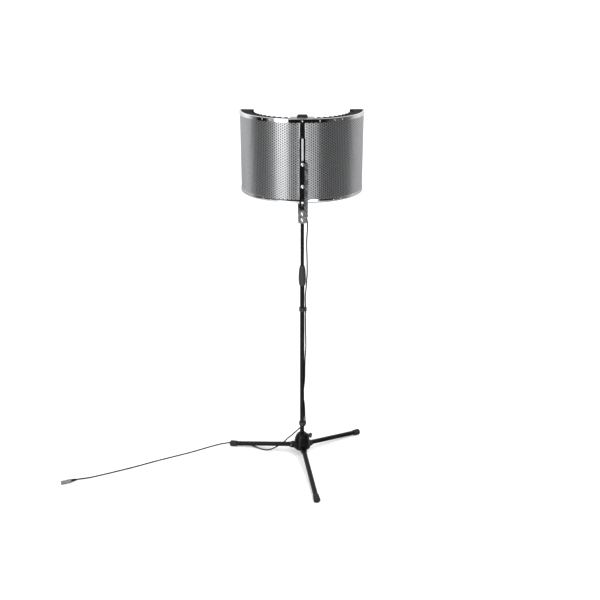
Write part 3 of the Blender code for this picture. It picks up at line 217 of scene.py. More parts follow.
LOWER_ROUTE = (
    (0.0151, -0.0025, 0.7960),
    (0.0151, -0.0025, 0.7720),
    (0.0145, -0.0029, 0.7500),
    (0.0148, -0.0025, 0.7150),
    (0.0152, -0.0020, 0.6760),
    (0.0162, -0.0020, 0.6300),
    (0.0166, -0.0020, 0.6010),
    (0.0155, -0.0030, 0.5730),
    (0.0136, -0.0045, 0.5480),
    (0.0124, -0.0068, 0.5000),
    (0.0116, -0.0082, 0.4400),
    (0.0083, -0.0116, 0.4020),
    (0.0048, -0.0135, 0.3720),
    (0.0052, -0.0134, 0.3420),
    (0.0090, -0.0111, 0.3160),
    (0.0114, -0.0085, 0.2900),
    (0.0126, -0.0064, 0.2500),
    (0.0138, -0.0012, 0.2230),
    (0.0141, 0.0025, 0.2060),
    (0.0141, 0.0025, 0.1900),
    (0.0118, 0.0090, 0.1795),
    (0.0055, 0.0139, 0.1725),
    (-0.0040, 0.0147, 0.1675),
    (-0.0130, 0.0105, 0.1635),
    (-0.0205, 0.0040, 0.1595),
    (-0.0290, -0.0008, 0.1535),
    (-0.0386, -0.0040, 0.1460),
    (-0.0530, -0.0056, 0.1325),
    (-0.0677, -0.0058, 0.1200),
    (-0.0824, -0.0030, 0.1020),
    (-0.0973, 0.0030, 0.0830),
    (-0.1173, 0.0170, 0.0630),
    (-0.1374, 0.0326, 0.0420),
    (-0.1535, 0.0480, 0.0255),
    (-0.1700, 0.0650, 0.0130),
    (-0.1880, 0.0790, 0.0058),
    (-0.2077, 0.0925, 0.0034),
    (-0.2283, 0.1090, 0.0033),
    (-0.2490, 0.1250, 0.0033),
    (-0.2720, 0.1380, 0.0033),
    (-0.3101, 0.1500, 0.0033),
    (-0.3557, 0.1530, 0.0033),
    (-0.4001, 0.1410, 0.0033),
    (-0.4435, 0.1205, 0.0033),
    (-0.5511, 0.0585, 0.0033),
    (-0.6886, -0.0105, 0.0033),
    (-0.8208, -0.0815, 0.0033),
    (-0.9508, -0.1435, 0.0033),
    (-0.9950, -0.1633, 0.0040),
    (-1.0330, -0.1803, 0.0082),
    (-1.0517, -0.1887, 0.0100),
)


def smooth_route(points, step):
    """Points on a smooth curve through the given ones, no further apart than the step."""
    places = [Vector(point) + Vector((POLE.x, POLE.y, 0)) for point in points]
    padded = [2 * places[0] - places[1], *places, 2 * places[-1] - places[-2]]
    route = [places[0]]
    for before, start, end, after in zip(padded, padded[1:], padded[2:], padded[3:]):
        length = (end - start).length
        leave = (end - before) * length / ((start - before).length + length)
        arrive = (after - start) * length / ((after - end).length + length)
        count = max(1, math.ceil(length / step))
        for i in range(1, count + 1):
            t = i / count
            place = start * (2 * t**3 - 3 * t**2 + 1) + end * (3 * t**2 - 2 * t**3)
            route.append(place + leave * (t**3 - 2 * t**2 + t) + arrive * (t**3 - t**2))
    return route


def run_of(route):
    return sum((b - a).length for a, b in zip(route, route[1:]))


head_route = smooth_route(HEAD_ROUTE, ROUTE_STEP)
main_route = smooth_route(UPPER_ROUTE + LOWER_ROUTE, ROUTE_STEP)
print("cable", round(run_of(head_route), 3), "+", round(run_of(main_route), 3), "m")


# %% A tube along a route
CABLE_SIDES = 16
SHARP_ANGLE = math.radians(35)


def linked(name, mesh, smooth=True):
    """An object of this mesh in the scene, smoothly shaded with its sharp edges kept."""
    obj = bpy.data.objects.new(name, mesh)
    bpy.context.scene.collection.objects.link(obj)
    if smooth:
        mesh.shade_smooth()
        mesh.set_sharp_from_angle(angle=SHARP_ANGLE)
    return obj


def tube_along(name, route, radius):
    """Rings of points carried along the route without twisting, joined by quads and closed."""
    verts, faces = [], []
    tangents = [(b - a).normalized() for a, b in zip(route, route[1:])]
    tangents.append(tangents[-1])
    side = tangents[0].orthogonal().normalized()
    for number, (place, ahead) in enumerate(zip(route, tangents)):
        side = (side - ahead * side.dot(ahead)).normalized()
        across = ahead.cross(side)
        for i in range(CABLE_SIDES):
            turn = 2 * math.pi * i / CABLE_SIDES
            verts.append(place + radius * (side * math.cos(turn) + across * math.sin(turn)))
        if number:
            first, last = (number - 1) * CABLE_SIDES, number * CABLE_SIDES
            for i in range(CABLE_SIDES):
                j = (i + 1) % CABLE_SIDES
                faces.append((first + i, first + j, last + j, last + i))
    faces.append(tuple(reversed(range(CABLE_SIDES))))
    faces.append(tuple(range(len(verts) - CABLE_SIDES, len(verts))))
    mesh = bpy.data.meshes.new(name)
    mesh.from_pydata(verts, [], faces)
    return linked(name, mesh)


cable_head = tube_along("cable_to_microphone", head_route, CABLE_R)
cable_main = tube_along("cable_down_the_stand", main_route, CABLE_R)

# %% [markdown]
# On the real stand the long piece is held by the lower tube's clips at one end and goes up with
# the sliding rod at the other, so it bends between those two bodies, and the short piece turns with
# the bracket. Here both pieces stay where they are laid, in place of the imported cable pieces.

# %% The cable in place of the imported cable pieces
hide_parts("mic_cable_upper", "mic_cable_lower")
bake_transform(cable_main)
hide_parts("mic_cable_head")
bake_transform(cable_head)
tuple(head_route[0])
round(run_of(head_route), 3)
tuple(main_route[0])
round(run_of(main_route), 3)

# %% [markdown]
# ## The perforated shell
# The shell is an aluminium sheet, 1 mm thick, punched with round holes in staggered rows and then
# rolled into a curve. A Boolean with nearly 3000 holes would be slow, and a transparent pattern
# would have no thickness. So the sheet is laid out flat as bricks that each hold one hole, with a
# plain margin all round, rolled by a formula, and thickened at the end.

# %% One brick with its hole
HOLE_R = 2.9 * MM
HOLE_PITCH = 10.8 * MM  # a real sheet may be finer, nearer 6 mm; this is coarse enough to show
ROW_PITCH = HOLE_PITCH * math.sqrt(3) / 2
HOLE_SIDES = 12
SHELL_WALL = 1.0 * MM


def brick(sheet, left, bottom, corner):
    """Six faces between a brick's edge and its round hole; `corner` finds or makes a shared point."""
    right, top, half = left + HOLE_PITCH, bottom + ROW_PITCH, left + HOLE_PITCH / 2
    edge = [(right, top), (half, top), (left, top), (left, bottom), (half, bottom), (right, bottom)]
    outer = [corner(*point) for point in edge]
    centre = (half, bottom + ROW_PITCH / 2)
    inner = []
    for i in range(HOLE_SIDES):
        turn = math.radians(30 + 360 * i / HOLE_SIDES)
        spot = (centre[0] + HOLE_R * math.cos(turn), centre[1] + HOLE_R * math.sin(turn))
        inner.append(sheet.verts.new((*spot, 0)))
    for i in range(6):
        ring = [inner[(2 * i + step) % HOLE_SIDES] for step in (2, 1, 0)]
        sheet.faces.new([outer[i], outer[(i + 1) % 6], *ring])


# %% The whole sheet, flat and then rolled
PLAIN_EDGES = 20 * MM  # left unpunched along the top and the bottom, both together
PLAIN_SIDES = 30 * MM  # and along the two upright sides
SAME_POINT = 0.1 * MM  # nearer than this, two bricks share a point


def rolled(place, radius):
    """A point of the flat sheet (up, along) on the curve of the shield."""
    turn = place.y / radius - math.pi / 2
    around = Vector((math.cos(turn), math.sin(turn), 0)) * (radius - place.z)
    return Vector((SHIELD_AXIS.x, SHIELD_AXIS.y, place.x)) + around


def make_shell():
    low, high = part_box("perforated_shell")
    radius = (high.x - low.x) / 2
    half_angle = math.pi / 2 + math.asin((high.y - SHIELD_AXIS.y) / radius)
    length = 2 * half_angle * radius
    columns = round((high.z - low.z - PLAIN_EDGES) / HOLE_PITCH)
    rows = round((length - PLAIN_SIDES) / ROW_PITCH)
    start = (low.z + high.z - columns * HOLE_PITCH) / 2
    base = -rows * ROW_PITCH / 2
    sheet = bmesh.new()
    points = {}

    def corner(x, y):
        key = (round(x / SAME_POINT), round(y / SAME_POINT))
        if key not in points:
            points[key] = sheet.verts.new((x, y, 0))
        return points[key]

    def plain(*outline):
        sheet.faces.new([corner(*point) for point in outline])

    half = HOLE_PITCH / 2
    end = start + columns * HOLE_PITCH
    for row in range(rows):
        bottom = base + row * ROW_PITCH
        top = bottom + ROW_PITCH
        for column in range(columns - row % 2):
            brick(sheet, start + (row % 2) * half + column * HOLE_PITCH, bottom, corner)
        if row % 2:
            plain((start, bottom), (start + half, bottom), (start + half, top), (start, top))
            plain((end - half, bottom), (end, bottom), (end, top), (end - half, top))
        plain((low.z, bottom), (start, bottom), (start, top), (low.z, top))
        plain((end, bottom), (high.z, bottom), (high.z, top), (end, top))
    stops = [low.z, *[start + i * half for i in range(2 * columns + 1)], high.z]
    for lower, upper in ((-length / 2, base), (base + rows * ROW_PITCH, length / 2)):
        for left, right in zip(stops, stops[1:]):
            plain((left, lower), (right, lower), (right, upper), (left, upper))
    for vert in sheet.verts:
        vert.co = rolled(vert.co, radius)
    bmesh.ops.recalc_face_normals(sheet, faces=sheet.faces)
    if sum(face.normal.dot(face.calc_center_median() - SHIELD_AXIS) for face in sheet.faces) < 0:
        bmesh.ops.reverse_faces(sheet, faces=sheet.faces)
    for face in sheet.faces:
        face.smooth = True
    for edge in sheet.edges:
        edge.smooth = not edge.is_boundary  # a punched edge stays crisp when the sheet is thickened
    mesh = bpy.data.meshes.new("perforated_sheet")
    sheet.to_mesh(mesh)
    sheet.free()
    shell = linked("punched_shell", mesh, smooth=False)
    wall = shell.modifiers.new("Wall", "SOLIDIFY")
    wall.thickness = SHELL_WALL
    wall.offset = -1
    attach(shell, "shield")
    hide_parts("perforated_shell")
    print("holes", rows * columns - rows // 2, "of", 2 * HOLE_R / MM, "mm")
    return shell


shell = make_shell()

# %% [markdown]
# ## Rims, rails and rivets
# A rim is a strip of steel bent into an angle and rolled round the shell's edge, then chrome
# plated. Real sheet has a soft outer bend and fine broken edges, and those are what catch the
# light on chrome. So the section gets a round corner and small chamfers, and is swept round the
# curve in fine steps.

# %% Sweep a section round the curve
SWEEP_STEP = math.radians(1.25)


def swept(name, section, half_angle):
    """A closed (radius, height) section carried round the shield's axis, with flat ends."""
    count = round(2 * half_angle / SWEEP_STEP)
    verts, faces = [], []
    size = len(section)
    for step in range(count + 1):
        turn = -math.pi / 2 - half_angle + 2 * half_angle * step / count
        for radius, z in section:
            x, y = radius * math.cos(turn), radius * math.sin(turn)
            verts.append((SHIELD_AXIS.x + x, SHIELD_AXIS.y + y, z))
        if step:
            first, last = (step - 1) * size, step * size
            for i in range(size):
                j = (i + 1) % size
                faces.append((first + i, last + i, last + j, first + j))
    faces.append(tuple(range(size)))
    faces.append(tuple(reversed(range(count * size, (count + 1) * size))))
    mesh = bpy.data.meshes.new(name)
    mesh.from_pydata(verts, [], faces)
    shape = bmesh.new()
    shape.from_mesh(mesh)
    bmesh.ops.recalc_face_normals(shape, faces=shape.faces)
    shape.to_mesh(mesh)
    shape.free()
    return linked(name, mesh)


HALF_ANGLE = math.radians(95)
RIM_WALL, RIM_BAND, RIM_FLANGE = 2.0 * MM, 15.5 * MM, 8.0 * MM
RIM_CORNER = 1.2 * MM
EDGE = 0.3 * MM


def make_rim(name, node, face, up):
    """The rim whose flat face is at height `face`; `up` is +1 or -1, from the face to the band."""
    outer, inner = RIM_R, RIM_R - RIM_FLANGE
    section = [(inner, EDGE), (inner + EDGE, 0)]
    middle_r = outer - RIM_CORNER
    for turn in np.radians(np.linspace(-90, 0, 5)):
        section.append((middle_r + RIM_CORNER * math.cos(turn), RIM_CORNER * (1 + math.sin(turn))))
    section += [(outer, RIM_BAND - EDGE), (outer - EDGE, RIM_BAND)]
    section += [(outer - RIM_WALL + EDGE, RIM_BAND), (outer - RIM_WALL, RIM_BAND - EDGE)]
    section += [(outer - RIM_WALL, RIM_WALL), (inner + EDGE, RIM_WALL), (inner, RIM_WALL - EDGE)]
    rim = swept(name, [(r, face + up * z) for r, z in section], HALF_ANGLE)
    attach(rim, "shield")
    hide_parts(node)
    return rim


top_rim = make_rim("upper_rim", "top_rim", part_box("top_rim")[1].z, -1)
bottom_rim = make_rim("lower_rim", "bottom_rim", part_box("bottom_rim")[0].z, 1)

# %% Rivets
RIVET_ANGLES = (15.5, 29.5, 37.6, 67.0, 82.0)
RIVET_R, RIVET_HEIGHT = 3.4 * MM, 1.2 * MM
RIVET_SIDES = 24
RIVET_SINK = 0.1 * MM  # of its flat underside in the rim


def turned(name, profile, sides, frame_matrix):
    """A turned piece: (radius, height) points revolved about Z, then placed by a matrix."""
    mesh = bpy.data.meshes.new(name)
    shape = bmesh.new()
    verts = [shape.verts.new((radius, 0, z)) for radius, z in profile]
    edges = [shape.edges.new(pair) for pair in zip(verts, verts[1:])]
    bmesh.ops.spin(
        shape, geom=verts + edges, axis=(0, 0, 1), cent=(0, 0, 0), steps=sides, angle=2 * math.pi
    )
    bmesh.ops.remove_doubles(shape, verts=shape.verts, dist=0.001 * MM)
    bmesh.ops.recalc_face_normals(shape, faces=shape.faces)
    shape.transform(frame_matrix)
    shape.to_mesh(mesh)
    shape.free()
    return linked(name, mesh)


def out_from_shield(degrees, z, radius):
    """A frame on the shield's outside whose Z axis points straight out."""
    turn = Matrix.Rotation(math.radians(degrees), 4, "Z")
    stand_out = Matrix.Translation((0, -radius, z)) @ Matrix.Rotation(math.radians(90), 4, "X")
    return Matrix.Translation(SHIELD_AXIS) @ turn @ stand_out


def make_rivets():
    dome = [(RIVET_R * math.sin(t), RIVET_HEIGHT * math.cos(t)) for t in np.radians(range(0, 91, 15))]
    heads = []
    for rim in ("top_rim", "bottom_rim"):
        low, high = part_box(rim)
        for angle in RIVET_ANGLES:
            for sign in (-1, 1):
                place = out_from_shield(sign * angle, (low.z + high.z) / 2, RIM_R - RIVET_SINK)
                name = "rivet_" + rim.split("_")[0] + "_" + str(len(heads))
                heads.append(turned(name, dome, RIVET_SIDES, place))
    for head in heads:
        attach(head, "shield")
    print(len(heads), "rivet heads")
    return heads


rivets = make_rivets()

# %% [markdown]
# ## The foam
# Open-cell polyurethane foam takes up the voice. It is cut with a hot wire into upright wedges,
# which catch sound from all sides better than a flat face. The wedge line is drawn as a formula
# round the curve, and the faces get a shallow unevenness, because cut foam is never quite true.

# %% Foam wedges
WEDGES = 27
WEDGE_DEPTH = 24 * MM
WEDGE_ROUNDING = 0.97  # 1 would give sharp crests
FOAM_THICKNESS = 55 * MM
FOAM_LEVELS = 30
STEPS_PER_WEDGE = 10
FOAM_RIPPLE = 0.6 * MM
FOAM_RIPPLE_SIZE = 35 * MM


def wedge(share):
    """A triangle wave with rounded turns: 0 on a crest, where `share` is a whole number, 1 in a valley."""
    return 0.5 - math.asin(WEDGE_ROUNDING * math.cos(2 * math.pi * share)) / (2 * math.asin(WEDGE_ROUNDING))


def foam_section(front, outer, heights):
    """The loop of (radius, z) points at one place: up the back, over the top, down the front."""
    top = [(outer + (front - outer) * i / 4, heights[-1]) for i in range(1, 4)]
    under = [(radius, heights[0]) for radius, _ in reversed(top)]
    return [(outer, z) for z in heights] + top + [(front, z) for z in reversed(heights)] + under


def make_foam():
    low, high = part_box("foam_absorber")
    outer = (high.x - low.x) / 2
    inner = outer - FOAM_THICKNESS
    heights = np.linspace(low.z, high.z, FOAM_LEVELS + 1)
    steps = WEDGES * STEPS_PER_WEDGE
    verts, faces = [], []
    for step in range(steps + 1):
        share = step / steps
        turn = -math.pi / 2 - HALF_ANGLE + 2 * HALF_ANGLE * share
        front = inner + WEDGE_DEPTH * wedge(share * WEDGES)
        for radius, z in foam_section(front, outer, heights):
            spot = Vector((radius * math.cos(turn), radius * math.sin(turn), z))
            if radius < outer:
                radius += FOAM_RIPPLE * abs(noise.noise(spot / FOAM_RIPPLE_SIZE))
            verts.append(SHIELD_AXIS + Vector((radius * math.cos(turn), radius * math.sin(turn), z)))
    loop = len(verts) // (steps + 1)
    for first in range(0, steps * loop, loop):
        for i in range(loop):
            j = (i + 1) % loop
            faces.append((first + i, first + loop + i, first + loop + j, first + j))
    faces.append(tuple(range(loop)))
    faces.append(tuple(reversed(range(steps * loop, (steps + 1) * loop))))
    mesh = bpy.data.meshes.new("foam_wedges")
    mesh.from_pydata(verts, [], faces)
    shape = bmesh.new()
    shape.from_mesh(mesh)
    bmesh.ops.recalc_face_normals(shape, faces=shape.faces)
    shape.to_mesh(mesh)
    shape.free()
    foam = linked("foam_wedges", mesh)
    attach(foam, "shield")
    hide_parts("foam_absorber")
    print("foam wedges", WEDGES, "of", round(2 * HALF_ANGLE * inner / WEDGES / MM, 1), "mm")
    return foam


foam = make_foam()

# %% [markdown]
# ## Broken edges
# No metal or plastic edge is a perfect corner: it was sheared, deburred or moulded with a small
# radius. A copy of each solid with its flat faces joined up and a narrow bevel gets that radius,
# which shows as a thin bright line wherever an edge turns to the light.

# %% Copies with broken edges
EDGE_WIDTHS = {
    "slotted_bar": 0.5 * MM,
    "bar_stiffener": 0.4 * MM,
    "centre_strip": 0.25 * MM,
    "seam_plate": 0.2 * MM,
    "top_plate": 0.3 * MM,
    "mic_arm": 0.6 * MM,
    "end_rail_left": 0.4 * MM,
    "end_rail_right": 0.4 * MM,
    "wing_knob": 1.4 * MM,
    "socket_latch": 0.3 * MM,
    "stud_nut": 0.3 * MM,
    "nut_plate": 0.3 * MM,
    "clamp_body": 0.5 * MM,
    "clamp_screw_upper": 0.15 * MM,
    "clamp_screw_lower": 0.15 * MM,
    "height_bolt_upper": 0.15 * MM,
    "height_bolt_lower": 0.15 * MM,
}


def softened(node, width):
    """A copy of a solid with its coplanar faces joined and its edges rounded."""
    source = frame["nodes"][node]
    mesh = source.data.copy()
    shape = bmesh.new()
    shape.from_mesh(mesh)
    bmesh.ops.remove_doubles(shape, verts=shape.verts, dist=0.002 * MM)
    bmesh.ops.dissolve_limit(
        shape, angle_limit=math.radians(1), verts=shape.verts, edges=shape.edges
    )
    bmesh.ops.recalc_face_normals(shape, faces=shape.faces)
    shape.to_mesh(mesh)
    shape.free()
    piece = linked(node + "_finished", mesh)
    edges = piece.modifiers.new("Edges", "BEVEL")
    edges.width = width
    edges.segments = 2
    edges.limit_method = "ANGLE"
    edges.angle_limit = SHARP_ANGLE
    edges.harden_normals = True
    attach(piece, source["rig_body"])
    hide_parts(node)
    return piece


SOFT_EDGED = {node: softened(node, width) for node, width in EDGE_WIDTHS.items()}
print("broken edges on", len(SOFT_EDGED), "pieces")

# %% [markdown]
# ## Powder-coated steel and aluminium
# The pole, the legs, the hub and the bar are powder coated: dry polyester powder is sprayed on and
# baked to a skin about 0.08 mm thick. It gives the eye a satin black with a fine orange peel, and
# a soft highlight instead of a mirror. The peel's bumps are 1 to 2 mm apart on the real thing.

# %% Powder coat
PEEL_SIZE = 1.6 * MM


def powder_coat():
    made, tree, shader, place = finish(
        "powder_coated_black", colour("070708"), 0.30, Specular_IOR_Level=0.22
    )
    tree.links.new(wear(tree, place, 60 * MM, 0.24, 0.36), shader.inputs["Roughness"])
    peel = add(tree, "ShaderNodeTexNoise", {"Vector": place, "Scale": 1 / PEEL_SIZE, "Detail": 1.0})
    relief(tree, shader, peel.outputs["Fac"], 0.05 * MM, 0.5)
    shade = wear(tree, place, 90 * MM, 0.0, 1.0)
    tone = add(
        tree,
        "ShaderNodeMix",
        {0: shade, 6: colour("050506"), 7: colour("0b0b0c")},
        data_type="RGBA",
    )
    tree.links.new(tone.outputs[2], shader.inputs["Base Color"])
    return made


POWDER_COAT = powder_coat()
print(POWDER_COAT.name, "made")

# %% [markdown]
# ## Moulded nylon
# The clutch, the knob, the clips and the hook are injection moulded glass-filled nylon. The mould
# was spark eroded, so the skin has a fine dull grain, and its colour is a warm black a little
# lighter than paint.

# %% Nylon
NYLON_GRAIN = 0.7 * MM  # the real grain is about 0.2 mm; it is drawn coarser so that it shows


def moulded_nylon():
    made, tree, shader, place = finish("moulded_black_nylon", colour("262628"), 0.5, IOR=1.53)
    grain = add(tree, "ShaderNodeTexNoise", {"Vector": place, "Scale": 1 / NYLON_GRAIN, "Detail": 2.0})
    relief(tree, shader, grain.outputs["Fac"], 0.05 * MM, 0.7)
    tree.links.new(wear(tree, place, 25 * MM, 0.46, 0.60), shader.inputs["Roughness"])
    return made


NYLON = moulded_nylon()
print(NYLON.name, "made")

# %% [markdown]
# ## Rubber and the cable's jacket
# The feet and the connectors' boots are moulded rubber, which scatters light widely and picks up a
# grey bloom and dust in its hollows. The jacket is soft PVC: smoother, with the faint lumps of the
# twisted wires under it, about 12 mm apart.

# %% Rubber and PVC
RUBBER_GRAIN = 1.0 * MM
LAY_LENGTH = 12 * MM


def moulded_rubber():
    made, tree, shader, place = finish("moulded_rubber", colour("1b1b1b"), 0.78, IOR=1.52)
    bloom = wear(tree, place, 12 * MM, 0.0, 1.0, detail=5.0)
    tone = add(
        tree, "ShaderNodeMix", {0: bloom, 6: colour("101010"), 7: colour("232323")}, data_type="RGBA"
    )
    tree.links.new(tone.outputs[2], shader.inputs["Base Color"])
    grain = add(tree, "ShaderNodeTexNoise", {"Vector": place, "Scale": 1 / RUBBER_GRAIN, "Detail": 2.0})
    relief(tree, shader, grain.outputs["Fac"], 0.06 * MM, 0.7)
    return made


def pvc_jacket():
    made, tree, shader, place = finish(
        "soft_pvc_jacket", colour("060607"), 0.46, IOR=1.45, Specular_IOR_Level=0.2
    )
    tree.links.new(wear(tree, place, 40 * MM, 0.40, 0.54), shader.inputs["Roughness"])
    lumps = add(tree, "ShaderNodeTexNoise", {"Vector": place, "Scale": 1 / LAY_LENGTH, "Detail": 1.0})
    relief(tree, shader, lumps.outputs["Fac"], 0.5 * MM, 0.5)
    return made


RUBBER = moulded_rubber()
JACKET = pvc_jacket()
print(RUBBER.name, "and", JACKET.name, "made")

# %% [markdown]
# ## Chrome plate
# Chrome is a thin bright layer over nickel on polished steel. It mirrors the room, so most of its
# look comes from the lights. What makes it real is that the sheet beneath is slightly wavy from
# rolling, and that fingers and cloths leave a faint haze.

# %% Chrome
SHEET_WAVE = 45 * MM


def chrome_plate():
    made, tree, shader, place = finish("chrome_plated_steel", colour("e8e9ea"), 0.05, 1.0)
    tree.links.new(wear(tree, place, 30 * MM, 0.03, 0.08), shader.inputs["Roughness"])
    wave = add(tree, "ShaderNodeTexNoise", {"Vector": place, "Scale": 1 / SHEET_WAVE, "Detail": 0.0})
    relief(tree, shader, wave.outputs["Fac"], 0.5 * MM, 0.25)
    return made


CHROME = chrome_plate()
print(CHROME.name, "made")

# %% [markdown]
# ## Brushed aluminium
# The shell's sheet is brushed along its length and clear anodised. Brushing leaves fine grooves
# that run round the curve, so highlights smear up and down across them. The grooves are measured
# along the roll, by the angle round the shield's own axis, so that they follow the curve. Real
# grooves are 0.1 mm apart and are drawn ten times coarser, or they would not show.

# %% Aluminium
GROOVE = 1.0 * MM
GROOVE_LENGTH = 60 * MM


def along_the_roll(tree, place):
    """Coordinates with X as the way round the shield's curve and Y as the height."""
    from_axis = add(tree, "ShaderNodeVectorMath", {0: place, 1: SHIELD_AXIS}, operation="SUBTRACT")
    parts = add(tree, "ShaderNodeSeparateXYZ", {0: from_axis.outputs[0]})
    back = add(tree, "ShaderNodeMath", {0: parts.outputs["Y"], 1: -1.0}, operation="MULTIPLY")
    turn = add(
        tree, "ShaderNodeMath", {0: parts.outputs["X"], 1: back.outputs[0]}, operation="ARCTAN2"
    )
    run = add(tree, "ShaderNodeMath", {0: turn.outputs[0], 1: RIM_R}, operation="MULTIPLY")
    return add(
        tree, "ShaderNodeCombineXYZ", {"X": run.outputs[0], "Y": parts.outputs["Z"]}
    ).outputs[0]


def brushed_aluminium():
    made, tree, shader, place = finish(
        "brushed_anodised_aluminium",
        colour("c3c4c6"),
        0.30,
        1.0,
        Anisotropic=0.85,
        Anisotropic_Rotation=0.25,
    )
    level = add(tree, "ShaderNodeTangent", direction_type="RADIAL", axis="Z")
    tree.links.new(level.outputs[0], shader.inputs["Tangent"])
    sheet = along_the_roll(tree, place)
    stretched = add(
        tree,
        "ShaderNodeMapping",
        {"Vector": sheet, "Scale": (1 / GROOVE_LENGTH, 1 / GROOVE, 1.0)},
        vector_type="POINT",
    )
    grooves = add(
        tree, "ShaderNodeTexNoise", {"Vector": stretched.outputs[0], "Scale": 1.0, "Detail": 3.0}
    ).outputs["Fac"]
    relief(tree, shader, grooves, 0.05 * MM, 0.2)
    gloss = add(
        tree,
        "ShaderNodeMapRange",
        {"Value": grooves, "From Min": 0.25, "From Max": 0.75, "To Min": 0.26, "To Max": 0.36},
    )
    tree.links.new(gloss.outputs["Result"], shader.inputs["Roughness"])
    tone = add(
        tree,
        "ShaderNodeMix",
        {0: grooves, 6: colour("b9babc"), 7: colour("cdced0")},
        data_type="RGBA",
    )
    tree.links.new(tone.outputs[2], shader.inputs["Base Color"])
    return made


ALUMINIUM = brushed_aluminium()
print(ALUMINIUM.name, "made")

# %% [markdown]
# ## Satin nickel and zinc
# The clamp, the stiffener and the cover plate are steel with satin nickel plate: blasted before
# plating, so it is grey and even, with no mirror image. Pins, nuts and the connectors' shells have
# a smoother nickel that shows soft streaks from turning.

# %% Nickel finishes
BLAST_GRAIN = 0.8 * MM  # real blasting is five times finer
TURNING_MARK = 0.6 * MM


def satin_nickel():
    made, tree, shader, place = finish("satin_nickel_plate", colour("9c9d9f"), 0.26, 1.0)
    grain = add(tree, "ShaderNodeTexNoise", {"Vector": place, "Scale": 1 / BLAST_GRAIN, "Detail": 2.0})
    relief(tree, shader, grain.outputs["Fac"], 0.05 * MM, 0.6)
    tree.links.new(wear(tree, place, 20 * MM, 0.20, 0.32), shader.inputs["Roughness"])
    return made


def bright_nickel():
    made, tree, shader, place = finish("turned_nickel_plate", colour("b8b6b0"), 0.22, 1.0)
    tree.links.new(wear(tree, place, 6 * MM, 0.16, 0.34, detail=6.0), shader.inputs["Roughness"])
    turned_marks = add(
        tree, "ShaderNodeTexNoise", {"Vector": place, "Scale": 1 / TURNING_MARK, "Detail": 2.0}
    )
    relief(tree, shader, turned_marks.outputs["Fac"], 0.02 * MM, 0.5)
    return made


NICKEL = satin_nickel()
BRIGHT_NICKEL = bright_nickel()
print(NICKEL.name, "and", BRIGHT_NICKEL.name, "made")

# %% [markdown]
# ## Foam and felt
# Open-cell foam is a net of tiny struts round pores of about 1 mm. It swallows light: nearly black,
# with a dusty sheen where struts stand up against the light, and its pores are painted darker than
# the struts as painted shade in the hollows. Wool felt has no pores but crossing fibres, so it gets
# a stretched noise and a stronger sheen.

# %% Foam and felt
PORE = 2.2 * MM  # real pores are 1 to 1.5 mm
FIBRE = 1.2 * MM


def open_cell_foam():
    made, tree, shader, place = finish(
        "open_cell_foam",
        colour("151517"),
        0.95,
        Sheen_Weight=0.03,
        Sheen_Roughness=0.6,
        Specular_IOR_Level=0.15,
    )
    pores = add(tree, "ShaderNodeTexVoronoi", {"Vector": place, "Scale": 1 / PORE})
    depth = pores.outputs["Distance"]
    # painted shade: the pore hollows are coloured darker than the struts round them
    tone = add(
        tree, "ShaderNodeMix", {0: depth, 6: colour("050506"), 7: colour("141416")}, data_type="RGBA"
    )
    tree.links.new(tone.outputs[2], shader.inputs["Base Color"])
    relief(tree, shader, depth, 1.0 * MM, 0.9)
    return made


def wool_felt():
    made, tree, shader, place = finish(
        "wool_felt", colour("141415"), 0.95, Sheen_Weight=0.1, Sheen_Roughness=0.5
    )
    fibres = add(
        tree,
        "ShaderNodeTexNoise",
        {"Vector": place, "Scale": 1 / FIBRE, "Detail": 4.0, "Distortion": 2.5},
    ).outputs["Fac"]
    tone = add(
        tree, "ShaderNodeMix", {0: fibres, 6: colour("0e0e0f"), 7: colour("1c1c1e")}, data_type="RGBA"
    )
    tree.links.new(tone.outputs[2], shader.inputs["Base Color"])
    relief(tree, shader, fibres, 0.5 * MM, 0.8)
    return made


FOAM = open_cell_foam()
FELT = wool_felt()
print(FOAM.name, "and", FELT.name, "made")

# %% [markdown]
# ## Dressing the pieces
# Every solid in the model names the kind of finish it has. One table turns those names into the
# finishes above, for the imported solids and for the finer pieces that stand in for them.

# %% Give every piece its finish
BY_SLOT = {
    "black_powder_coat": POWDER_COAT,
    "black_nylon": NYLON,
    "black_rubber": RUBBER,
    "chrome_plate": CHROME,
    "brushed_aluminium": ALUMINIUM,
    "satin_nickel": NICKEL,
    "zinc_plated_steel": BRIGHT_NICKEL,
    "acoustic_foam": FOAM,
    "grey_felt": FELT,
}
SLOT_OF = {part["node"]: part["material_slot"] for part in frame["record"]["subparts"]}


def dress(piece, material):
    piece.data.materials.clear()
    piece.data.materials.append(material)


for node, solid in frame["nodes"].items():
    dress(solid, BY_SLOT[SLOT_OF[node]])
    solid.data.shade_smooth()
for node, piece in SOFT_EDGED.items():
    dress(piece, BY_SLOT[SLOT_OF[node]])
for piece in (top_rim, bottom_rim, *rivets):
    dress(piece, CHROME)
dress(shell, ALUMINIUM)
dress(foam, FOAM)
for piece in (cable_head, cable_main):
    dress(piece, JACKET)
print(len(frame["nodes"]), "solids dressed in", len(BY_SLOT), "finishes")

# %% [markdown]
# ## The studio
# A white sweep and soft light make a catalogue picture. Curved metal shows the room as upright
# bands, so the room is drawn by compass direction: one curve of light and dark for the horizon,
# which the upper rim mirrors, and one just under it for the lower rim. A softer one lies above and
# below both, and the brushed sheet blurs it in. The last gives the floor in front its glow.

# %% Floor
FLOOR_R = 200.0


def make_floor():
    mesh = bpy.data.meshes.new("floor")
    shape = bmesh.new()
    bmesh.ops.create_circle(shape, cap_ends=True, segments=96, radius=FLOOR_R)
    shape.to_mesh(mesh)
    shape.free()
    sweep = bpy.data.objects.new("floor", mesh)
    bpy.context.scene.collection.objects.link(sweep)
    dress(sweep, finish("white_sweep", colour("f2f2f2"), 0.9)[0])
    sweep.visible_glossy = False
    return sweep


floor = make_floor()
print("floor of", FLOOR_R, "m radius")

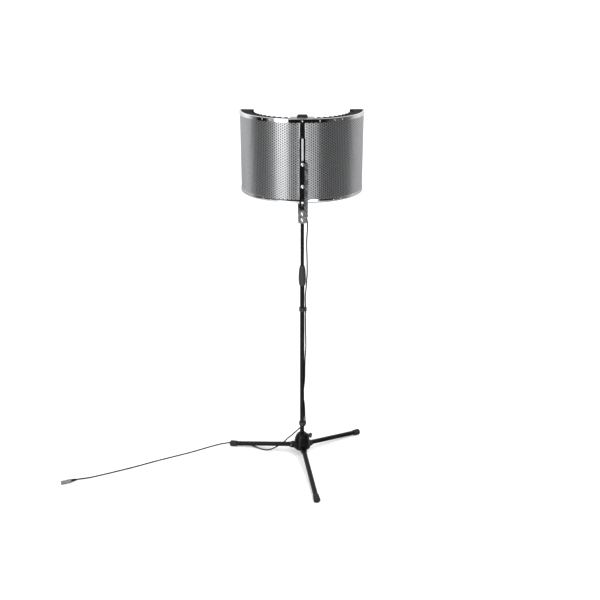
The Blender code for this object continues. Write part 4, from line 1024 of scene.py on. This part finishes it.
# %% The room by direction: (degrees to the right of the front, brightness)
HORIZON = (
    (-180, 0.60),
    (-150, 0.80),
    (-122, 1.10),
    (-112, 0.90),
    (-100, 0.30),
    (-86, 0.01),
    (-68, 0.01),
    (-64, 0.22),
    (-52, 0.50),
    (-48, 2.40),
    (-28, 2.40),
    (-24, 0.01),
    (42, 0.01),
    (50, 0.06),
    (66, 0.12),
    (84, 0.10),
    (96, 0.20),
    (112, 0.70),
    (130, 0.90),
    (150, 0.80),
    (180, 0.60),
)
HIGH_AND_LOW = (
    (-180, 1.00),
    (-140, 1.40),
    (-126, 1.30),
    (-113, 0.68),
    (-100, 0.70),
    (-80, 0.78),
    (-65, 0.86),
    (-55, 1.06),
    (-48, 1.20),
    (-42, 3.00),
    (-30, 3.00),
    (-22, 1.60),
    (-11, 1.20),
    (-6, 0.50),
    (4, 0.30),
    (10, 0.90),
    (20, 0.60),
    (32, 0.78),
    (40, 0.64),
    (48, 0.46),
    (56, 0.40),
    (72, 0.34),
    (82, 0.50),
    (100, 0.45),
    (113, 0.55),
    (126, 1.00),
    (180, 1.00),
)
UNDER_HORIZON = (
    (-180, 0.50),
    (-110, 0.50),
    (-95, 0.10),
    (-60, 0.10),
    (-46, 0.28),
    (-31, 0.28),
    (-27, 0.02),
    (10, 0.02),
    (14, 3.00),
    (28, 3.00),
    (31, 0.02),
    (58, 0.02),
    (66, 0.10),
    (90, 0.20),
    (110, 0.60),
    (180, 0.50),
)
FLOOR_GLOW = (
    (-180, 0.30),
    (-8, 0.30),
    (-4, 8.00),
    (9, 8.00),
    (13, 0.30),
    (180, 0.30),
)


# Where one curve gives way to the next, by the sine of the height above the horizon
GLOW_ENDS = (-0.46, -0.40)
LOW_BEGINS = (-0.36, -0.33)
HORIZON_BEGINS = (-0.225, -0.205)
HORIZON_ENDS = (0.10, 0.20)
CEILING_BEGINS = (0.85, 0.95)
CEILING_LEVEL = 0.45


def compass_curve(tree, share, stops):
    """The brightness for a direction: `share` runs from 0 to 1 once round, with the front at 0.5."""
    node = add(tree, "ShaderNodeFloatCurve", {"Value": share})
    brightest = max(level for _, level in stops)
    points = node.mapping.curves[0].points
    points[0].location = (0, stops[0][1] / brightest)
    points[-1].location = (1, stops[-1][1] / brightest)
    for degrees, level in stops[1:-1]:
        points.new(degrees / 360 + 0.5, level / brightest)
    for point in points:
        point.handle_type = "VECTOR"
    node.mapping.update()
    return add(
        tree, "ShaderNodeMath", {0: node.outputs[0], 1: brightest}, operation="MULTIPLY"
    ).outputs[0]


def blended(tree, height, low, high, under, over):
    """One value under the height `low`, the other above `high`."""
    share = add(tree, "ShaderNodeMapRange", {"Value": height, "From Min": low, "From Max": high})
    return add(
        tree, "ShaderNodeMix", {0: share.outputs["Result"], 2: under, 3: over}, data_type="FLOAT"
    ).outputs[0]


def make_room():
    world = bpy.data.worlds.new("studio_room")
    bpy.context.scene.world = world
    world.use_nodes = True
    tree = world.node_tree
    background = tree.nodes["Background"]
    background.inputs["Color"].default_value = (1, 1, 1, 1)
    way = add(tree, "ShaderNodeTexCoord").outputs["Generated"]
    parts = add(tree, "ShaderNodeSeparateXYZ", {0: way})
    back = add(tree, "ShaderNodeMath", {0: parts.outputs["Y"], 1: -1.0}, operation="MULTIPLY")
    turn = add(tree, "ShaderNodeMath", {0: parts.outputs["X"], 1: back.outputs[0]}, operation="ARCTAN2")
    share = add(
        tree,
        "ShaderNodeMath",
        {0: turn.outputs[0], 1: 1 / (2 * math.pi), 2: 0.5},
        operation="MULTIPLY_ADD",
    ).outputs[0]
    height = parts.outputs["Z"]
    glow, soft, low, horizon = (
        compass_curve(tree, share, stops)
        for stops in (FLOOR_GLOW, HIGH_AND_LOW, UNDER_HORIZON, HORIZON)
    )
    room = blended(tree, height, *GLOW_ENDS, glow, soft)
    room = blended(tree, height, *LOW_BEGINS, room, low)
    room = blended(tree, height, *HORIZON_BEGINS, room, horizon)
    room = blended(tree, height, *HORIZON_ENDS, room, soft)
    room = blended(tree, height, *CEILING_BEGINS, room, CEILING_LEVEL)
    seen = add(tree, "ShaderNodeLightPath").outputs["Is Camera Ray"]
    shown = add(tree, "ShaderNodeMix", {0: seen, 2: room, 3: 1.0}, data_type="FLOAT")
    tree.links.new(shown.outputs[0], background.inputs["Strength"])
    return world


room = make_room()
print("room of", len(room.node_tree.nodes), "nodes")


# %% One soft lamp from above the camera, a little to the right
LAMP_STRENGTH = 3.1
LAMP_SOFTNESS = math.radians(30)
LAMP_WAY = Vector((-0.2, 0.9, -1))


def make_lamp():
    data = bpy.data.lights.new("soft_overhead", "SUN")
    data.energy = LAMP_STRENGTH
    data.angle = LAMP_SOFTNESS
    lamp = bpy.data.objects.new("soft_overhead", data)
    bpy.context.scene.collection.objects.link(lamp)
    lamp.rotation_euler = LAMP_WAY.to_track_quat("-Z", "Y").to_euler()
    lamp.visible_glossy = False
    return lamp


lamp = make_lamp()
print("lamp softness", round(math.degrees(lamp.data.angle)), "degrees")
bpy.context.scene.view_settings.view_transform = "Standard"
